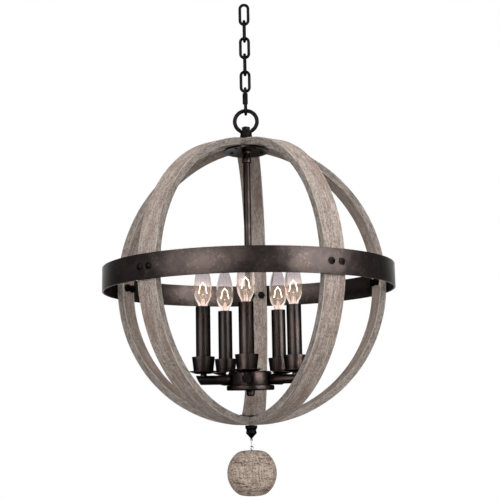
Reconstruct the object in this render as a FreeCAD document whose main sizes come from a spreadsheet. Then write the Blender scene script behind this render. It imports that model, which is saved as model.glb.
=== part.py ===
"""Orb pendant light: five wooden ribs in an iron band, five candle lamps inside,
hung from a short chain, with a wooden ball below.

Millimetres, +Z up. The origin is the inside of the top bend of the topmost chain
link, where a ceiling hook would carry the light.
"""
import FreeCAD, Part
import Sketcher
import math
import os
from types import SimpleNamespace

from FreeCAD import Placement, Rotation, Vector

# Driving sizes, in millimetres and degrees
SIZES = {
    # chain
    "chain_wire": 5.3, "link_length": 42.9, "link_width": 20.4, "link_clearance": 0.3,
    # quick link and its sleeve nut
    "quick_wire": 5.0, "quick_length": 53.0, "quick_width": 21.0,
    "quick_gap": 6.2, "quick_engage": 2.0,
    "quick_nut_length": 20.0, "quick_nut_flats": 8.3, "quick_nut_bore_fit": 0.08,
    "quick_nut_lift": 2.4,
    # hanging loop
    "loop_wire": 7.0, "loop_radius": 20.1, "loop_hub_drop": 37.6, "loop_hub_foot": 12.0,
    "loop_hub_neck": 10.4, "loop_foot_height": 6.3, "loop_neck_height": 11.8,
    "loop_hub_height": 19.8, "loop_nut_flats": 14.5, "loop_nut_height": 6.5,
    "spot_face_room": 0.6,
    # threaded pipe that clamps the whole column
    "pipe_diameter": 9.6, "pipe_bore": 7.0, "pipe_top_overrun": 1.5, "thread_fit": 0.05,
    "bore_fit": 0.2,
    # wooden ribs
    "rib_radius": 251.0, "rib_thickness": 12.7, "rib_width": 40.0, "mitre_gap": 0.15,
    "seat_gap": 0.2, "apex_fit": 0.4,
    # iron band and its fasteners
    "band_gap": 1.0, "band_thickness": 3.0, "band_height": 41.0,
    "bolt_spacing": 19.5, "bolt_diameter": 6.0, "bolt_head_diameter": 12.0,
    "bolt_head_height": 4.2, "bolt_tip_overrun": 1.5, "bolt_hole_fit": 0.2,
    "band_nut_flats": 12.5, "band_nut_height": 5.5,
    # domed discs at the two ends of the ribs
    "disc_radius": 40.0, "disc_thickness": 3.0, "disc_screw_tilt": 6.9,
    "lower_disc_radius": 26.0, "lower_screw_tilt": 4.6,
    "disc_boss_radius": 8.0, "disc_boss_height": 1.5,
    "disc_screw_diameter": 3.4, "disc_screw_length": 11.0, "disc_screw_head": 7.0,
    "disc_screw_head_height": 1.8, "disc_screw_fit": 0.1,
    # column below the top disc
    "disc_nut_flats": 15.5, "disc_nut_height": 6.0, "disc_nut_room": 0.3,
    "coupling_neck": 11.6, "coupling_collar": 16.5, "coupling_height": 17.0,
    "coupling_collar_height": 10.0, "coupling_socket": 5.0,
    "stem_diameter": 13.0, "stem_wall": 1.4, "stem_fit": 0.1,
    # hub
    "hub_radius": 36.0, "hub_wall": 3.0, "hub_height": 21.0, "hub_room": 32.2,
    "cover_thickness": 3.0, "cover_boss": 9.0, "cover_boss_height": 4.0,
    "base_step": 5.3, "base_height": 8.4, "base_floor": 3.4, "base_lip": 1.2,
    "hub_nut_diameter": 14.8, "hub_nut_height": 10.0, "hub_nut_floor": 2.5,
    # candle arms
    "candle_radius": 82.5, "arm_diameter": 16.0, "arm_wall": 1.5, "arm_drop": 11.5,
    "arm_inside": 4.0, "arm_reach": 13.0, "arm_slant": 8.5, "arm_end_wall": 4.0,
    "collar_diameter": 17.6, "collar_length": 15.0, "collar_room": 0.3,
    "arm_hole_fit": 0.2, "neck_diameter": 11.0, "neck_height": 2.8,
    "stud_diameter": 9.6, "stud_height": 8.0, "wire_bore": 6.5,
    "arm_screw_radius": 40.0, "arm_screw_head": 5.8, "arm_screw_head_height": 5.6,
    "arm_screw_shank": 3.0, "arm_screw_fit": 0.1,
    # drip pan, cup, sleeve and socket
    "pan_radius": 24.4, "pan_floor_radius": 13.2, "pan_rise": 3.8, "pan_thickness": 1.2,
    "cup_height": 28.0, "cup_foot_radius": 16.8, "cup_rim_radius": 19.8, "cup_wall": 1.8,
    "cup_floor": 2.0, "sleeve_diameter": 25.4, "sleeve_wall": 1.2, "sleeve_length": 112.5,
    "socket_diameter": 20.7, "socket_height": 34.0, "socket_recess": 2.5,
    "socket_floor": 3.0, "post_diameter": 12.4,
    # bulb
    "base_diameter": 11.6, "base_length": 21.0, "base_fit": 0.3,
    "neck_glass_radius": 6.65, "bulb_flare_radius": 9.2, "bulb_flare_height": 8.5,
    "bulb_radius": 15.7, "bulb_widest_height": 32.0,
    "bulb_tip_radius": 6.2, "bulb_shoulder": 46.6, "bulb_tip_height": 51.0,
    "glass_wall": 1.1, "bulb_seat": 0.2,
    # bottom finial
    "finial_cap_radius": 10.3, "finial_cap_height": 4.3, "finial_neck_radius": 8.2,
    "finial_neck_drop": 8.0, "finial_bulge_radius": 9.5, "finial_bulge_drop": 13.0,
    "finial_tip_drop": 21.5, "finial_rod_radius": 1.7, "finial_shank_length": 16.8,
    "tongue_drop": 24.4, "tongue_radius": 2.1, "tongue_thickness": 1.6, "tongue_hole": 2.4,
    # link, screw eye and ball
    "ball_wire": 1.5, "ball_link_length": 13.8, "ball_link_width": 7.0,
    "eye_wire": 1.7, "eye_radius": 2.55, "eye_shank_length": 12.0, "eye_hole_fit": 0.1,
    "ball_radius": 42.2, "ball_flat_cut": 6.0, "ball_crown": 2.0, "ball_drop": 0.9,
    "ball_edge": 20.0,
}

LINKS = 5
COUNT = 5
TURN = 360.0 / COUNT
RIB_START = 90.0
CANDLE_START = 270.0

# Which way an arc runs about its centre
LEFT = 1
RIGHT = -1

X_AXIS = FreeCAD.Vector(1, 0, 0)
Y_AXIS = FreeCAD.Vector(0, 1, 0)
Z_AXIS = FreeCAD.Vector(0, 0, 1)

doc = FreeCAD.newDocument("pendant_light")
sheet = doc.addObject("Spreadsheet::Sheet", "Sizes")
for row, (alias, number) in enumerate(SIZES.items(), start=1):
    sheet.set(f"A{row}", alias)
    sheet.set(f"B{row}", str(number))
    sheet.setAlias(f"B{row}", alias)
doc.recompute()


class Size:
    """A size worked out from the sheet: the expression that gives it, and its value now."""

    def __init__(self, text, value):
        self.text = text
        self.value = value

    def __add__(self, other):
        other = as_size(other)
        return Size(f"({self.text} + {other.text})", self.value + other.value)

    def __sub__(self, other):
        other = as_size(other)
        return Size(f"({self.text} - {other.text})", self.value - other.value)

    def __mul__(self, other):
        other = as_size(other)
        return Size(f"({self.text} * {other.text})", self.value * other.value)

    def __truediv__(self, other):
        other = as_size(other)
        return Size(f"({self.text} / {other.text})", self.value / other.value)

    def __neg__(self):
        return Size(f"(0 - {self.text})", -self.value)

    __radd__ = __add__
    __rmul__ = __mul__


def as_size(number):
    return number if isinstance(number, Size) else Size(repr(number), number)


def root(size):
    return Size(f"sqrt({size.text})", math.sqrt(size.value))


ZERO = as_size(0.0)
s = SimpleNamespace(**{a: Size(f"Sizes.{a}", float(sheet.get(a))) for a in SIZES})


# Document helpers

def bind(feature, prop, size):
    """Tie a property to its expression, or set it plainly where it is zero."""
    feature.setExpression(prop, as_size(size).text)


def settle(thing, place=(ZERO, ZERO, ZERO), turn=Rotation()):
    """Put a thing in the light's frame: turned by fixed angles, at a bound place."""
    thing.Placement = Placement(Vector(0, 0, 0), turn)
    for letter, size in zip("xyz", place):
        if size is not ZERO:
            bind(thing, f"Placement.Base.{letter}", size)
    return thing


def about_z(angle):
    return Rotation(Z_AXIS, angle)


def new_body(label, place=(ZERO, ZERO, ZERO), turn=Rotation()):
    body = doc.addObject("PartDesign::Body", label)
    body.Label = label
    return settle(body, place, turn)


def new_sketch(body, role):
    """A sketch on one of the body's own origin planes."""
    sketch = body.newObject("Sketcher::SketchObject", f"{body.Name}_sketch")
    plane = [o for o in body.Origin.OriginFeatures if o.Role == role][0]
    sketch.AttachmentSupport = (plane, [""])
    sketch.MapMode = "FlatFace"
    return sketch


def pin(sketch, geometry, end, x, y):
    """Fix one end of an edge, or a centre, at a bound place."""
    for kind, size in (("DistanceX", x), ("DistanceY", y)):
        row = sketch.addConstraint(
            Sketcher.Constraint(kind, -1, 1, geometry, end, as_size(size).value))
        if as_size(size).text != ZERO.text:
            sketch.setExpression(f"Constraints[{row}]", as_size(size).text)


def arc_about(centre, start, end, way):
    """The arc from start to end about a centre, running left or right about it."""
    first = math.atan2(start.y - centre.y, start.x - centre.x)
    last = math.atan2(end.y - centre.y, end.x - centre.x)
    if way * (last - first) <= 0:
        last += way * 2 * math.pi
    half = (first + last) / 2
    radius = centre.distanceToPoint(start)
    middle = Vector(centre.x + radius * math.cos(half), centre.y + radius * math.sin(half), 0)
    return Part.Arc(start, middle, end) if way == LEFT else Part.Arc(end, middle, start)


def spot(x, y):
    return Vector(as_size(x).value, as_size(y).value, 0)


def draw(sketch, corners, arcs, closed):
    """Lines and arcs through bound corners; arcs gives a side's centre and its way."""
    spots = [spot(x, y) for x, y in corners]
    count = len(spots)
    sides = count if closed else count - 1
    ends = []
    for index in range(sides):
        first, last = spots[index], spots[(index + 1) % count]
        if index in arcs:
            x, y, way = arcs[index]
            edge = arc_about(spot(x, y), first, last, way)
        else:
            edge = Part.LineSegment(first, last)
        sketch.addGeometry(edge, False)
        backwards = index in arcs and arcs[index][2] == RIGHT
        ends.append((2, 1) if backwards else (1, 2))
    for index in range(sides):
        pin(sketch, index, ends[index][0], *corners[index])
        before = (index - 1) % count
        if closed or index:
            sketch.addConstraint(Sketcher.Constraint(
                "Coincident", before, ends[before][1], index, ends[index][0]))
    if not closed:
        pin(sketch, sides - 1, ends[-1][1], *corners[-1])
    for index, (x, y, way) in arcs.items():
        chord = spots[(index + 1) % count] - spots[index]
        upright = abs(chord.y) > abs(chord.x)
        kind, size = ("DistanceX", as_size(x)) if upright else ("DistanceY", as_size(y))
        row = sketch.addConstraint(Sketcher.Constraint(kind, -1, 1, index, 3, size.value))
        if size.text != ZERO.text:
            sketch.setExpression(f"Constraints[{row}]", size.text)
    return sketch


def outline(sketch, corners, arcs={}):
    """A closed outline through bound corners."""
    return draw(sketch, corners, arcs, True)


def open_path(sketch, corners, arcs):
    """A run through bound corners, left open."""
    return draw(sketch, corners, arcs, False)


def circle(sketch, x, y, diameter):
    row = sketch.addGeometry(
        Part.Circle(Vector(as_size(x).value, as_size(y).value, 0), Vector(0, 0, 1),
                    diameter.value / 2), False)
    pin(sketch, row, 3, x, y)
    size = sketch.addConstraint(Sketcher.Constraint("Diameter", row, diameter.value))
    sketch.setExpression(f"Constraints[{size}]", diameter.text)
    return sketch


def hexagon(sketch, flats):
    """A regular hexagon about the middle, by the width across its flats."""
    half = flats / 2
    corner = flats / root(as_size(3.0))
    return outline(sketch, [(half, corner / 2), (ZERO, corner), (-half, corner / 2),
                            (-half, -(corner / 2)), (ZERO, -corner), (half, -(corner / 2))])


def pad(body, sketch, length, reverse=False, both=False):
    feature = body.newObject("PartDesign::Pad", f"{body.Name}_pad")
    feature.Profile = sketch
    bind(feature, "Length", length)
    feature.Reversed = reverse
    feature.Midplane = both
    return feature


def cut_through(body, sketch):
    """A pocket through everything, both ways from its sketch."""
    feature = body.newObject("PartDesign::Pocket", f"{body.Name}_cut")
    feature.Profile = sketch
    feature.Type = "ThroughAll"
    feature.Midplane = True
    return feature


def cut_deep(body, sketch, depth, reverse=False):
    feature = body.newObject("PartDesign::Pocket", f"{body.Name}_pocket")
    feature.Profile = sketch
    bind(feature, "Length", depth)
    feature.Reversed = reverse
    return feature


def turned(label, corners, arcs={}, place=(ZERO, ZERO, ZERO), turn=Rotation()):
    """A lathe-turned piece: the outline in radius and height, spun about its own Z."""
    body = new_body(label, place, turn)
    spin(body, outline(new_sketch(body, "XZ_Plane"), corners, arcs))
    return body


def spin(body, sketch, about="V_Axis"):
    feature = body.newObject("PartDesign::Revolution", f"{body.Name}_turn")
    feature.Profile = sketch
    feature.ReferenceAxis = (sketch, [about])
    feature.Angle = 360
    return feature


def drill_out(body, diameter, tilt, depth):
    """A hole along a radius from the body's origin, tilted from its Z towards its X."""
    sketch = new_sketch(body, "XY_Plane")
    sketch.AttachmentOffset = Placement(Vector(0, 0, 0), Rotation(Y_AXIS, tilt))
    return cut_deep(body, circle(sketch, ZERO, ZERO, diameter), depth, reverse=True)


def hex_nut(label, flats, height, bore, place=(ZERO, ZERO, ZERO), turn=Rotation()):
    """A hexagon nut standing on its seat."""
    body = new_body(label, place, turn)
    pad(body, hexagon(new_sketch(body, "XY_Plane"), flats), height)
    cut_through(body, circle(new_sketch(body, "XY_Plane"), ZERO, ZERO, bore))
    return body


def five_times(body, feature):
    """Repeat the last feature of a body round its Z axis."""
    doc.recompute()
    pattern = body.newObject("PartDesign::PolarPattern", f"{body.Name}_pattern")
    pattern.Originals = [feature]
    axis = [o for o in body.Origin.OriginFeatures if o.Role == "Z_Axis"][0]
    pattern.Axis = (axis, [""])
    pattern.Angle = 360
    pattern.Occurrences = COUNT
    body.Tip = pattern
    return pattern


def wire_along(body, path, profile):
    """Round wire swept along a path sketch."""
    pipe = body.newObject("PartDesign::AdditivePipe", f"{body.Name}_wire")
    pipe.Profile = profile
    pipe.Spine = (path, [f"Edge{n + 1}" for n in range(len(path.Geometry))])
    return pipe


def oblong_ring(label, length, width, wire, place, turn=Rotation()):
    """A closed link of round wire with straight sides, upright in its own XZ plane."""
    body = new_body(label, place, turn)
    side = (width - wire) / 2
    straight = (length - width) / 2
    path = outline(new_sketch(body, "XZ_Plane"), [
        (side, ZERO), (side, straight), (-side, straight), (-side, -straight),
        (side, -straight)],
        {1: (ZERO, straight, LEFT), 3: (ZERO, -straight, LEFT)})
    wire_along(body, path, circle(new_sketch(body, "XY_Plane"), side, ZERO, wire))
    return body


def group(label, pieces):
    """Like pieces that share one node."""
    compound = doc.addObject("Part::Compound", label)
    compound.Label = label
    compound.Links = pieces
    return compound


nodes = []


def keep(*pieces):
    nodes.extend(pieces)


def around(start, number):
    return start + TURN * number


# Levels down the column

link_pitch = s.link_length - s.chain_wire * 2 - s.link_clearance
first_link = s.chain_wire - s.link_length / 2
last_link_wire = first_link - link_pitch * (LINKS - 1) - (s.link_length - s.chain_wire) / 2
quick_top_wire = last_link_wire + (s.chain_wire + s.quick_wire) / 2 + s.link_clearance
quick_centre = quick_top_wire + (s.quick_wire - s.quick_length) / 2
quick_bottom_wire = quick_centre - (s.quick_length - s.quick_wire) / 2
loop_top_wire = quick_bottom_wire + (s.quick_wire + s.loop_wire) / 2 + s.link_clearance
loop_centre = loop_top_wire - s.loop_radius
loop_seat = loop_centre - s.loop_hub_drop
cage_centre = loop_seat - s.seat_gap - s.rib_radius

rib_inner = s.rib_radius - s.rib_thickness
band_inner_radius = s.rib_radius + s.band_gap
disc_top = rib_inner - s.seat_gap
disc_under = disc_top - s.disc_thickness
disc_nut_top = cage_centre + disc_under - s.disc_nut_room
coupling_top = disc_nut_top - s.disc_nut_height
coupling_bottom = coupling_top - s.coupling_height
boss_top = cage_centre - disc_under + s.disc_boss_height
base_bottom = boss_top + s.hub_room + s.hub_nut_height
hub_bottom = base_bottom + s.base_height
hub_top = hub_bottom + s.hub_height
pipe_top = loop_seat + s.loop_hub_height + s.loop_nut_height + s.pipe_top_overrun
pipe_bottom = base_bottom - s.hub_nut_height + s.hub_nut_floor
arm_level = hub_top - s.arm_drop
pan_level = arm_level + s.arm_diameter / 2 + s.neck_height
cup_level = pan_level + s.pan_thickness
sleeve_level = cup_level + s.cup_floor
sleeve_top = sleeve_level + s.sleeve_length
socket_top = sleeve_top - s.socket_recess

pipe_hole = s.pipe_diameter + s.bore_fit * 2
thread_hole = s.pipe_diameter + s.thread_fit * 2
screw_hole = s.disc_screw_diameter + s.disc_screw_fit * 2
bolt_hole = s.bolt_diameter + s.bolt_hole_fit * 2
screw_tilts = {True: s.disc_screw_tilt.value, False: 180.0 - s.lower_screw_tilt.value}


# Chain

def chain_link(number):
    """Odd links lie across the front, even ones edge on."""
    level = first_link - link_pitch * number
    return oblong_ring(f"chain_link_{number + 1}", s.link_length, s.link_width, s.chain_wire,
                       (ZERO, ZERO, level), about_z(90.0 * (number % 2)))


# Quick link

quick_side = (s.quick_width - s.quick_wire) / 2
quick_straight = (s.quick_length - s.quick_width) / 2
quick_nut_middle = s.quick_nut_lift
quick_gap_top = quick_nut_middle + s.quick_nut_length / 2 - s.quick_engage
quick_gap_bottom = quick_gap_top - s.quick_gap


def quick_link():
    """The oblong ring that joins chain and loop, open on one side behind its nut."""
    body = new_body("quick_link", (ZERO, ZERO, quick_centre), about_z(90.0))
    path = open_path(new_sketch(body, "XZ_Plane"), [
        (-quick_side, quick_gap_top), (-quick_side, quick_straight),
        (quick_side, quick_straight), (quick_side, -quick_straight),
        (-quick_side, -quick_straight), (-quick_side, quick_gap_bottom)],
        {1: (ZERO, quick_straight, RIGHT), 3: (ZERO, -quick_straight, RIGHT)})
    profile = new_sketch(body, "XY_Plane")
    bind(profile, "AttachmentOffset.Base.z", quick_gap_top)
    wire_along(body, path, circle(profile, -quick_side, ZERO, s.quick_wire))
    return body


def quick_link_nut():
    """The hexagon sleeve that closes the quick link's gap."""
    bottom = quick_centre + quick_nut_middle - s.quick_nut_length / 2
    bore = s.quick_wire + s.quick_nut_bore_fit * 2
    return hex_nut("quick_link_nut", s.quick_nut_flats, s.quick_nut_length, bore,
                   (ZERO, -quick_side, bottom), about_z(90.0))


# Hanging loop

def hang_loop():
    """A cast ring on a flared hub, spot faced inside for the nut."""
    hub = turned("hang_loop_hub", [
        (ZERO, ZERO), (s.loop_hub_foot, ZERO), (s.loop_hub_foot, s.loop_foot_height),
        (s.loop_hub_neck, s.loop_neck_height), (s.loop_hub_neck, s.loop_hub_height),
        (ZERO, s.loop_hub_height)], place=(ZERO, ZERO, loop_seat))
    ring = doc.addObject("Part::Torus", "hang_loop_ring")
    bind(ring, "Radius1", s.loop_radius)
    bind(ring, "Radius2", s.loop_wire / 2)
    settle(ring, (ZERO, ZERO, loop_centre), Rotation(X_AXIS, 90.0))
    body = doc.addObject("Part::Fuse", "hang_loop_casting")
    body.Base = hub
    body.Tool = ring
    face = doc.addObject("Part::Cylinder", "hang_loop_spot_face")
    bind(face, "Radius", s.loop_nut_flats / root(as_size(3.0)) + s.spot_face_room)
    bind(face, "Height", s.loop_hub_height)
    settle(face, (ZERO, ZERO, loop_seat + s.loop_hub_height))
    bore = doc.addObject("Part::Cylinder", "hang_loop_bore")
    bind(bore, "Radius", pipe_hole / 2)
    bind(bore, "Height", s.loop_hub_drop)
    settle(bore, (ZERO, ZERO, loop_seat - s.seat_gap))
    tools = doc.addObject("Part::Fuse", "hang_loop_tools")
    tools.Base = face
    tools.Tool = bore
    loop = doc.addObject("Part::Cut", "hang_loop")
    loop.Base = body
    loop.Tool = tools
    loop.Label = "hang_loop"
    return loop


def loop_nut():
    return hex_nut("loop_nut", s.loop_nut_flats, s.loop_nut_height, thread_hole,
                   (ZERO, ZERO, loop_seat + s.loop_hub_height))


def lamp_pipe():
    """The long threaded pipe that clamps loop, ribs, stem and hub together."""
    outer = s.pipe_diameter / 2
    inner = s.pipe_bore / 2
    length = pipe_top - pipe_bottom
    return turned("lamp_pipe", [(inner, ZERO), (outer, ZERO), (outer, length),
                                (inner, length)], place=(ZERO, ZERO, pipe_bottom))


# Ribs

def rib(number):
    """A half ring of board, mitred at both ends and drilled for bolts and screws."""
    body = new_body(f"rib_{number + 1}", (ZERO, ZERO, cage_centre),
                    about_z(around(RIB_START, number)))
    outer, inner = s.rib_radius, rib_inner
    half_ring = outline(new_sketch(body, "XZ_Plane"), [
        (ZERO, -outer), (outer, ZERO), (ZERO, outer), (ZERO, inner), (inner, ZERO),
        (ZERO, -inner)],
        {0: (ZERO, ZERO, LEFT), 1: (ZERO, ZERO, LEFT), 3: (ZERO, ZERO, RIGHT),
         4: (ZERO, ZERO, RIGHT)})
    pad(body, half_ring, s.rib_width, both=True)
    slope = math.tan(math.radians(TURN / 2))
    tip = s.mitre_gap / slope
    back = tip + s.rib_width / slope
    cut_through(body, outline(new_sketch(body, "XY_Plane"), [
        (tip, ZERO), (back, s.rib_width), (-s.rib_width, s.rib_width),
        (-s.rib_width, -s.rib_width), (back, -s.rib_width)]))
    cut_through(body, circle(new_sketch(body, "XY_Plane"), ZERO, ZERO,
                             s.pipe_diameter + s.apex_fit * 2))
    for tilt in screw_tilts.values():
        drill_out(body, screw_hole, tilt, disc_under + s.disc_screw_length + s.disc_screw_fit)
    bolts = new_sketch(body, "YZ_Plane")
    for side in (1.0, -1.0):
        circle(bolts, s.bolt_spacing * (side / 2), ZERO, bolt_hole)
    cut_through(body, bolts)
    return body


# Band and its bolts

def equator_band():
    body = new_body("equator_band", (ZERO, ZERO, cage_centre), about_z(RIB_START))
    outer = band_inner_radius + s.band_thickness
    ring = new_sketch(body, "XY_Plane")
    circle(ring, ZERO, ZERO, outer * 2)
    circle(ring, ZERO, ZERO, band_inner_radius * 2)
    pad(body, ring, s.band_height, both=True)
    holes = new_sketch(body, "YZ_Plane")
    for side in (1.0, -1.0):
        circle(holes, s.bolt_spacing * (side / 2), ZERO, bolt_hole)
    five_times(body, cut_deep(body, holes, outer + s.band_thickness, reverse=True))
    return body


def bolt_places():
    """The turn of each rib and the sideways step of each of its two bolts."""
    for number in range(COUNT):
        for side in (1.0, -1.0):
            yield around(RIB_START, number), s.bolt_spacing * (side / 2)


def radial(angle, distance, step, level):
    """A place at a distance out along a turn, stepped sideways, at a level."""
    cosine = math.cos(math.radians(angle))
    sine = math.sin(math.radians(angle))
    return (distance * cosine - step * sine, distance * sine + step * cosine, level)


def outward(angle):
    """The turn that points a piece's own Z out along a direction round the column."""
    return about_z(angle).multiply(Rotation(Y_AXIS, 90.0))


def dome_radius(half_width, height):
    """The radius of an arc that rises by height over half_width."""
    return (half_width * half_width + height * height) / (height * 2.0)


def dome(half_width, base, top, way=LEFT):
    """The arc of a domed end, level on the axis at top, from its rim at base."""
    return (ZERO, top - dome_radius(half_width, top - base), way)


def band_bolt(angle, step, index):
    """A dome headed bolt, its head outside the band and its tip past the nut."""
    head = s.bolt_head_diameter / 2
    shank = s.bolt_diameter / 2
    seat = band_inner_radius + s.band_thickness
    length = seat - rib_inner + s.band_nut_height + s.bolt_tip_overrun
    rim = s.bolt_head_height / 4
    body = turned(f"band_bolt_{index}", [
        (ZERO, -length), (shank, -length), (shank, ZERO), (head, ZERO), (head, rim),
        (ZERO, s.bolt_head_height)],
        {4: dome(head, rim, s.bolt_head_height)})
    return aim(body, angle, radial(angle, seat, step, cage_centre))


def aim(body, angle, place):
    return settle(body, place, outward(angle))


def band_nut(angle, step, index):
    bore = s.bolt_diameter + s.thread_fit * 2
    body = hex_nut(f"band_nut_{index}", s.band_nut_flats, s.band_nut_height, bore)
    seat = root(rib_inner * rib_inner - s.band_nut_flats * s.band_nut_flats / 3.0)
    return aim(body, angle, radial(angle, seat - s.band_nut_height, step, cage_centre))


# Discs at the poles and their screws

def flipped(up):
    """The turn of a piece drawn for the top pole, or the same piece at the bottom."""
    return about_z(RIB_START) if up else about_z(RIB_START).multiply(Rotation(X_AXIS, 180.0))


def rib_disc(label, up):
    """A domed steel disc against the inside of the ribs; the lower one has a boss."""
    hole = pipe_hole / 2 if up else thread_hole / 2
    boss = s.disc_boss_radius
    rim = s.disc_radius if up else s.lower_disc_radius
    tilt = screw_tilts[True] if up else 180.0 - screw_tilts[False]

    def level(sphere, radius):
        return root(sphere * sphere - radius * radius)

    corners = [(rim, level(disc_under, rim)), (rim, level(disc_top, rim)),
               (hole, level(disc_top, hole))]
    arcs = {1: (ZERO, ZERO, LEFT)}
    if up:
        corners.append((hole, level(disc_under, hole)))
        arcs[3] = (ZERO, ZERO, RIGHT)
    else:
        foot = disc_under - s.disc_boss_height
        corners += [(hole, foot), (boss, foot), (boss, level(disc_under, boss))]
        arcs[5] = (ZERO, ZERO, RIGHT)
    body = turned(label, corners, arcs, (ZERO, ZERO, cage_centre), flipped(up))
    hole = drill_out(body, screw_hole, tilt, disc_top + s.disc_thickness)
    five_times(body, hole)
    return body


def disc_screw(number, up):
    """A round headed wood screw, square to a disc, through it into a rib."""
    head = s.disc_screw_head / 2
    shank = s.disc_screw_diameter / 2
    seat = root(disc_under * disc_under - head * head)
    tip = disc_under + s.disc_screw_length
    top = seat - s.disc_screw_head_height
    turn = about_z(around(RIB_START, number)).multiply(Rotation(Y_AXIS, screw_tilts[up]))
    return turned(f"disc_screw_{'top' if up else 'bottom'}_{number + 1}", [
        (ZERO, top), (head, seat), (shank, seat), (shank, tip - shank), (ZERO, tip)],
        {0: (ZERO, top + dome_radius(head, s.disc_screw_head_height), LEFT)},
        (ZERO, ZERO, cage_centre), turn)


# Column

def disc_nut():
    return hex_nut("disc_nut", s.disc_nut_flats, s.disc_nut_height, thread_hole,
                   (ZERO, ZERO, disc_nut_top - s.disc_nut_height))


def stem_coupling():
    """A turned collar that takes the top of the stem tube."""
    neck = s.coupling_neck / 2
    collar = s.coupling_collar / 2
    bore = thread_hole / 2
    socket = s.stem_diameter / 2 + s.stem_fit
    bevel = collar - neck
    return turned("stem_coupling", [
        (socket, ZERO), (collar, ZERO), (collar, s.coupling_collar_height - bevel / 2),
        (neck, s.coupling_collar_height), (neck, s.coupling_height),
        (bore, s.coupling_height), (bore, s.coupling_socket), (socket, s.coupling_socket)],
        place=(ZERO, ZERO, coupling_bottom))


def stem_tube():
    outer = s.stem_diameter / 2
    inner = outer - s.stem_wall
    bottom = hub_top + s.cover_thickness + s.stem_fit
    top = coupling_bottom + s.coupling_socket - s.stem_fit
    length = top - bottom
    return turned("stem_tube", [(inner, ZERO), (outer, ZERO), (outer, length),
                                (inner, length)], place=(ZERO, ZERO, bottom))


# Hub

def hub_cover():
    """The lid of the hub, with a boss that takes the foot of the stem."""
    bore = pipe_hole / 2
    socket = s.stem_diameter / 2 + s.stem_fit
    top = s.cover_thickness + s.cover_boss_height
    spigot = s.hub_radius - s.hub_wall - s.bore_fit
    return turned("hub_cover", [
        (bore, -s.cover_thickness), (spigot, -s.cover_thickness), (spigot, ZERO),
        (s.hub_radius, ZERO), (s.hub_radius, s.cover_thickness / 2),
        (s.hub_radius - s.cover_thickness / 2, s.cover_thickness),
        (s.cover_boss + s.cover_boss_height / 2, s.cover_thickness), (s.cover_boss, top),
        (socket, top), (socket, s.cover_thickness), (bore, s.cover_thickness)],
        place=(ZERO, ZERO, hub_top))


def hub_body():
    """The hub's side wall, drilled for the five arms."""
    inner = s.hub_radius - s.hub_wall
    body = turned("hub_body", [
        (inner, ZERO), (s.hub_radius, ZERO), (s.hub_radius, s.hub_height),
        (inner, s.hub_height)],
        place=(ZERO, ZERO, hub_bottom), turn=about_z(CANDLE_START))
    hole = circle(new_sketch(body, "YZ_Plane"), ZERO, s.hub_height - s.arm_drop,
                  s.arm_diameter + s.arm_hole_fit * 2)
    five_times(body, cut_deep(body, hole, s.hub_radius + s.hub_wall, reverse=True))
    return body


def hub_base():
    """The wider foot of the hub, hollowed from above."""
    bore = pipe_hole / 2
    inner = s.hub_radius - s.hub_wall
    outer = s.hub_radius + s.base_step
    rim = outer - s.base_lip
    return turned("hub_base", [
        (bore, ZERO), (rim, ZERO), (outer, s.base_lip),
        (outer, s.base_height - s.base_lip), (rim, s.base_height),
        (inner, s.base_height), (inner, s.base_floor), (bore, s.base_floor)],
        place=(ZERO, ZERO, base_bottom))


def hub_nut():
    """The closed turned nut under the hub."""
    outer = s.hub_nut_diameter / 2
    bore = thread_hole / 2
    bevel = s.hub_nut_floor
    return turned("hub_nut", [
        (bore, s.hub_nut_height), (outer, s.hub_nut_height), (outer, bevel),
        (outer - bevel, ZERO), (ZERO, ZERO), (ZERO, bevel), (bore, bevel)],
        place=(ZERO, ZERO, base_bottom - s.hub_nut_height))


# Candle arms

def arm(number):
    """A tube with a collar at the hub, a slanted closed end, and a neck for the cup."""
    body = new_body(f"arm_{number + 1}", (ZERO, ZERO, arm_level),
                    about_z(around(CANDLE_START, number)))
    tube = s.arm_diameter / 2
    collar = s.collar_diameter / 2
    start = s.hub_radius - s.hub_wall - s.arm_inside
    collar_start = s.hub_radius + s.collar_room
    end = s.candle_radius + s.arm_reach
    shape = outline(new_sketch(body, "XZ_Plane"), [
        (start, ZERO), (start, tube), (collar_start, tube), (collar_start, collar),
        (collar_start + s.collar_length, collar), (collar_start + s.collar_length, tube),
        (end, tube), (end, ZERO)])
    spin(body, shape, "H_Axis")
    slant = outline(new_sketch(body, "XZ_Plane"), [
        (end, tube), (end - s.arm_slant, -tube),
        (end - s.arm_slant, -s.arm_diameter), (end + tube, -s.arm_diameter),
        (end + tube, tube)])
    cut_through(body, slant)
    neck_top = tube + s.neck_height
    neck = circle(new_sketch(body, "XY_Plane"), s.candle_radius, ZERO, s.neck_diameter)
    pad(body, neck, neck_top)
    stud = circle(new_sketch(body, "XY_Plane"), s.candle_radius, ZERO, s.stud_diameter)
    pad(body, stud, neck_top + s.stud_height)
    bore = outline(new_sketch(body, "XZ_Plane"), [
        (ZERO, ZERO), (ZERO, tube - s.arm_wall), (end - s.arm_slant - s.arm_end_wall,
         tube - s.arm_wall), (end - s.arm_slant - s.arm_end_wall, ZERO)])
    hollow = body.newObject("PartDesign::Groove", f"{body.Name}_bore")
    hollow.Profile = bore
    hollow.ReferenceAxis = (bore, ["H_Axis"])
    hollow.Angle = 360
    up = circle(new_sketch(body, "XY_Plane"), s.candle_radius, ZERO, s.wire_bore)
    cut_deep(body, up, neck_top + s.stud_height, reverse=True)
    screw = circle(new_sketch(body, "XY_Plane"), s.arm_screw_radius, ZERO,
                   s.arm_screw_shank + s.arm_screw_fit * 2)
    cut_deep(body, screw, collar, reverse=True)
    return body


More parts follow.
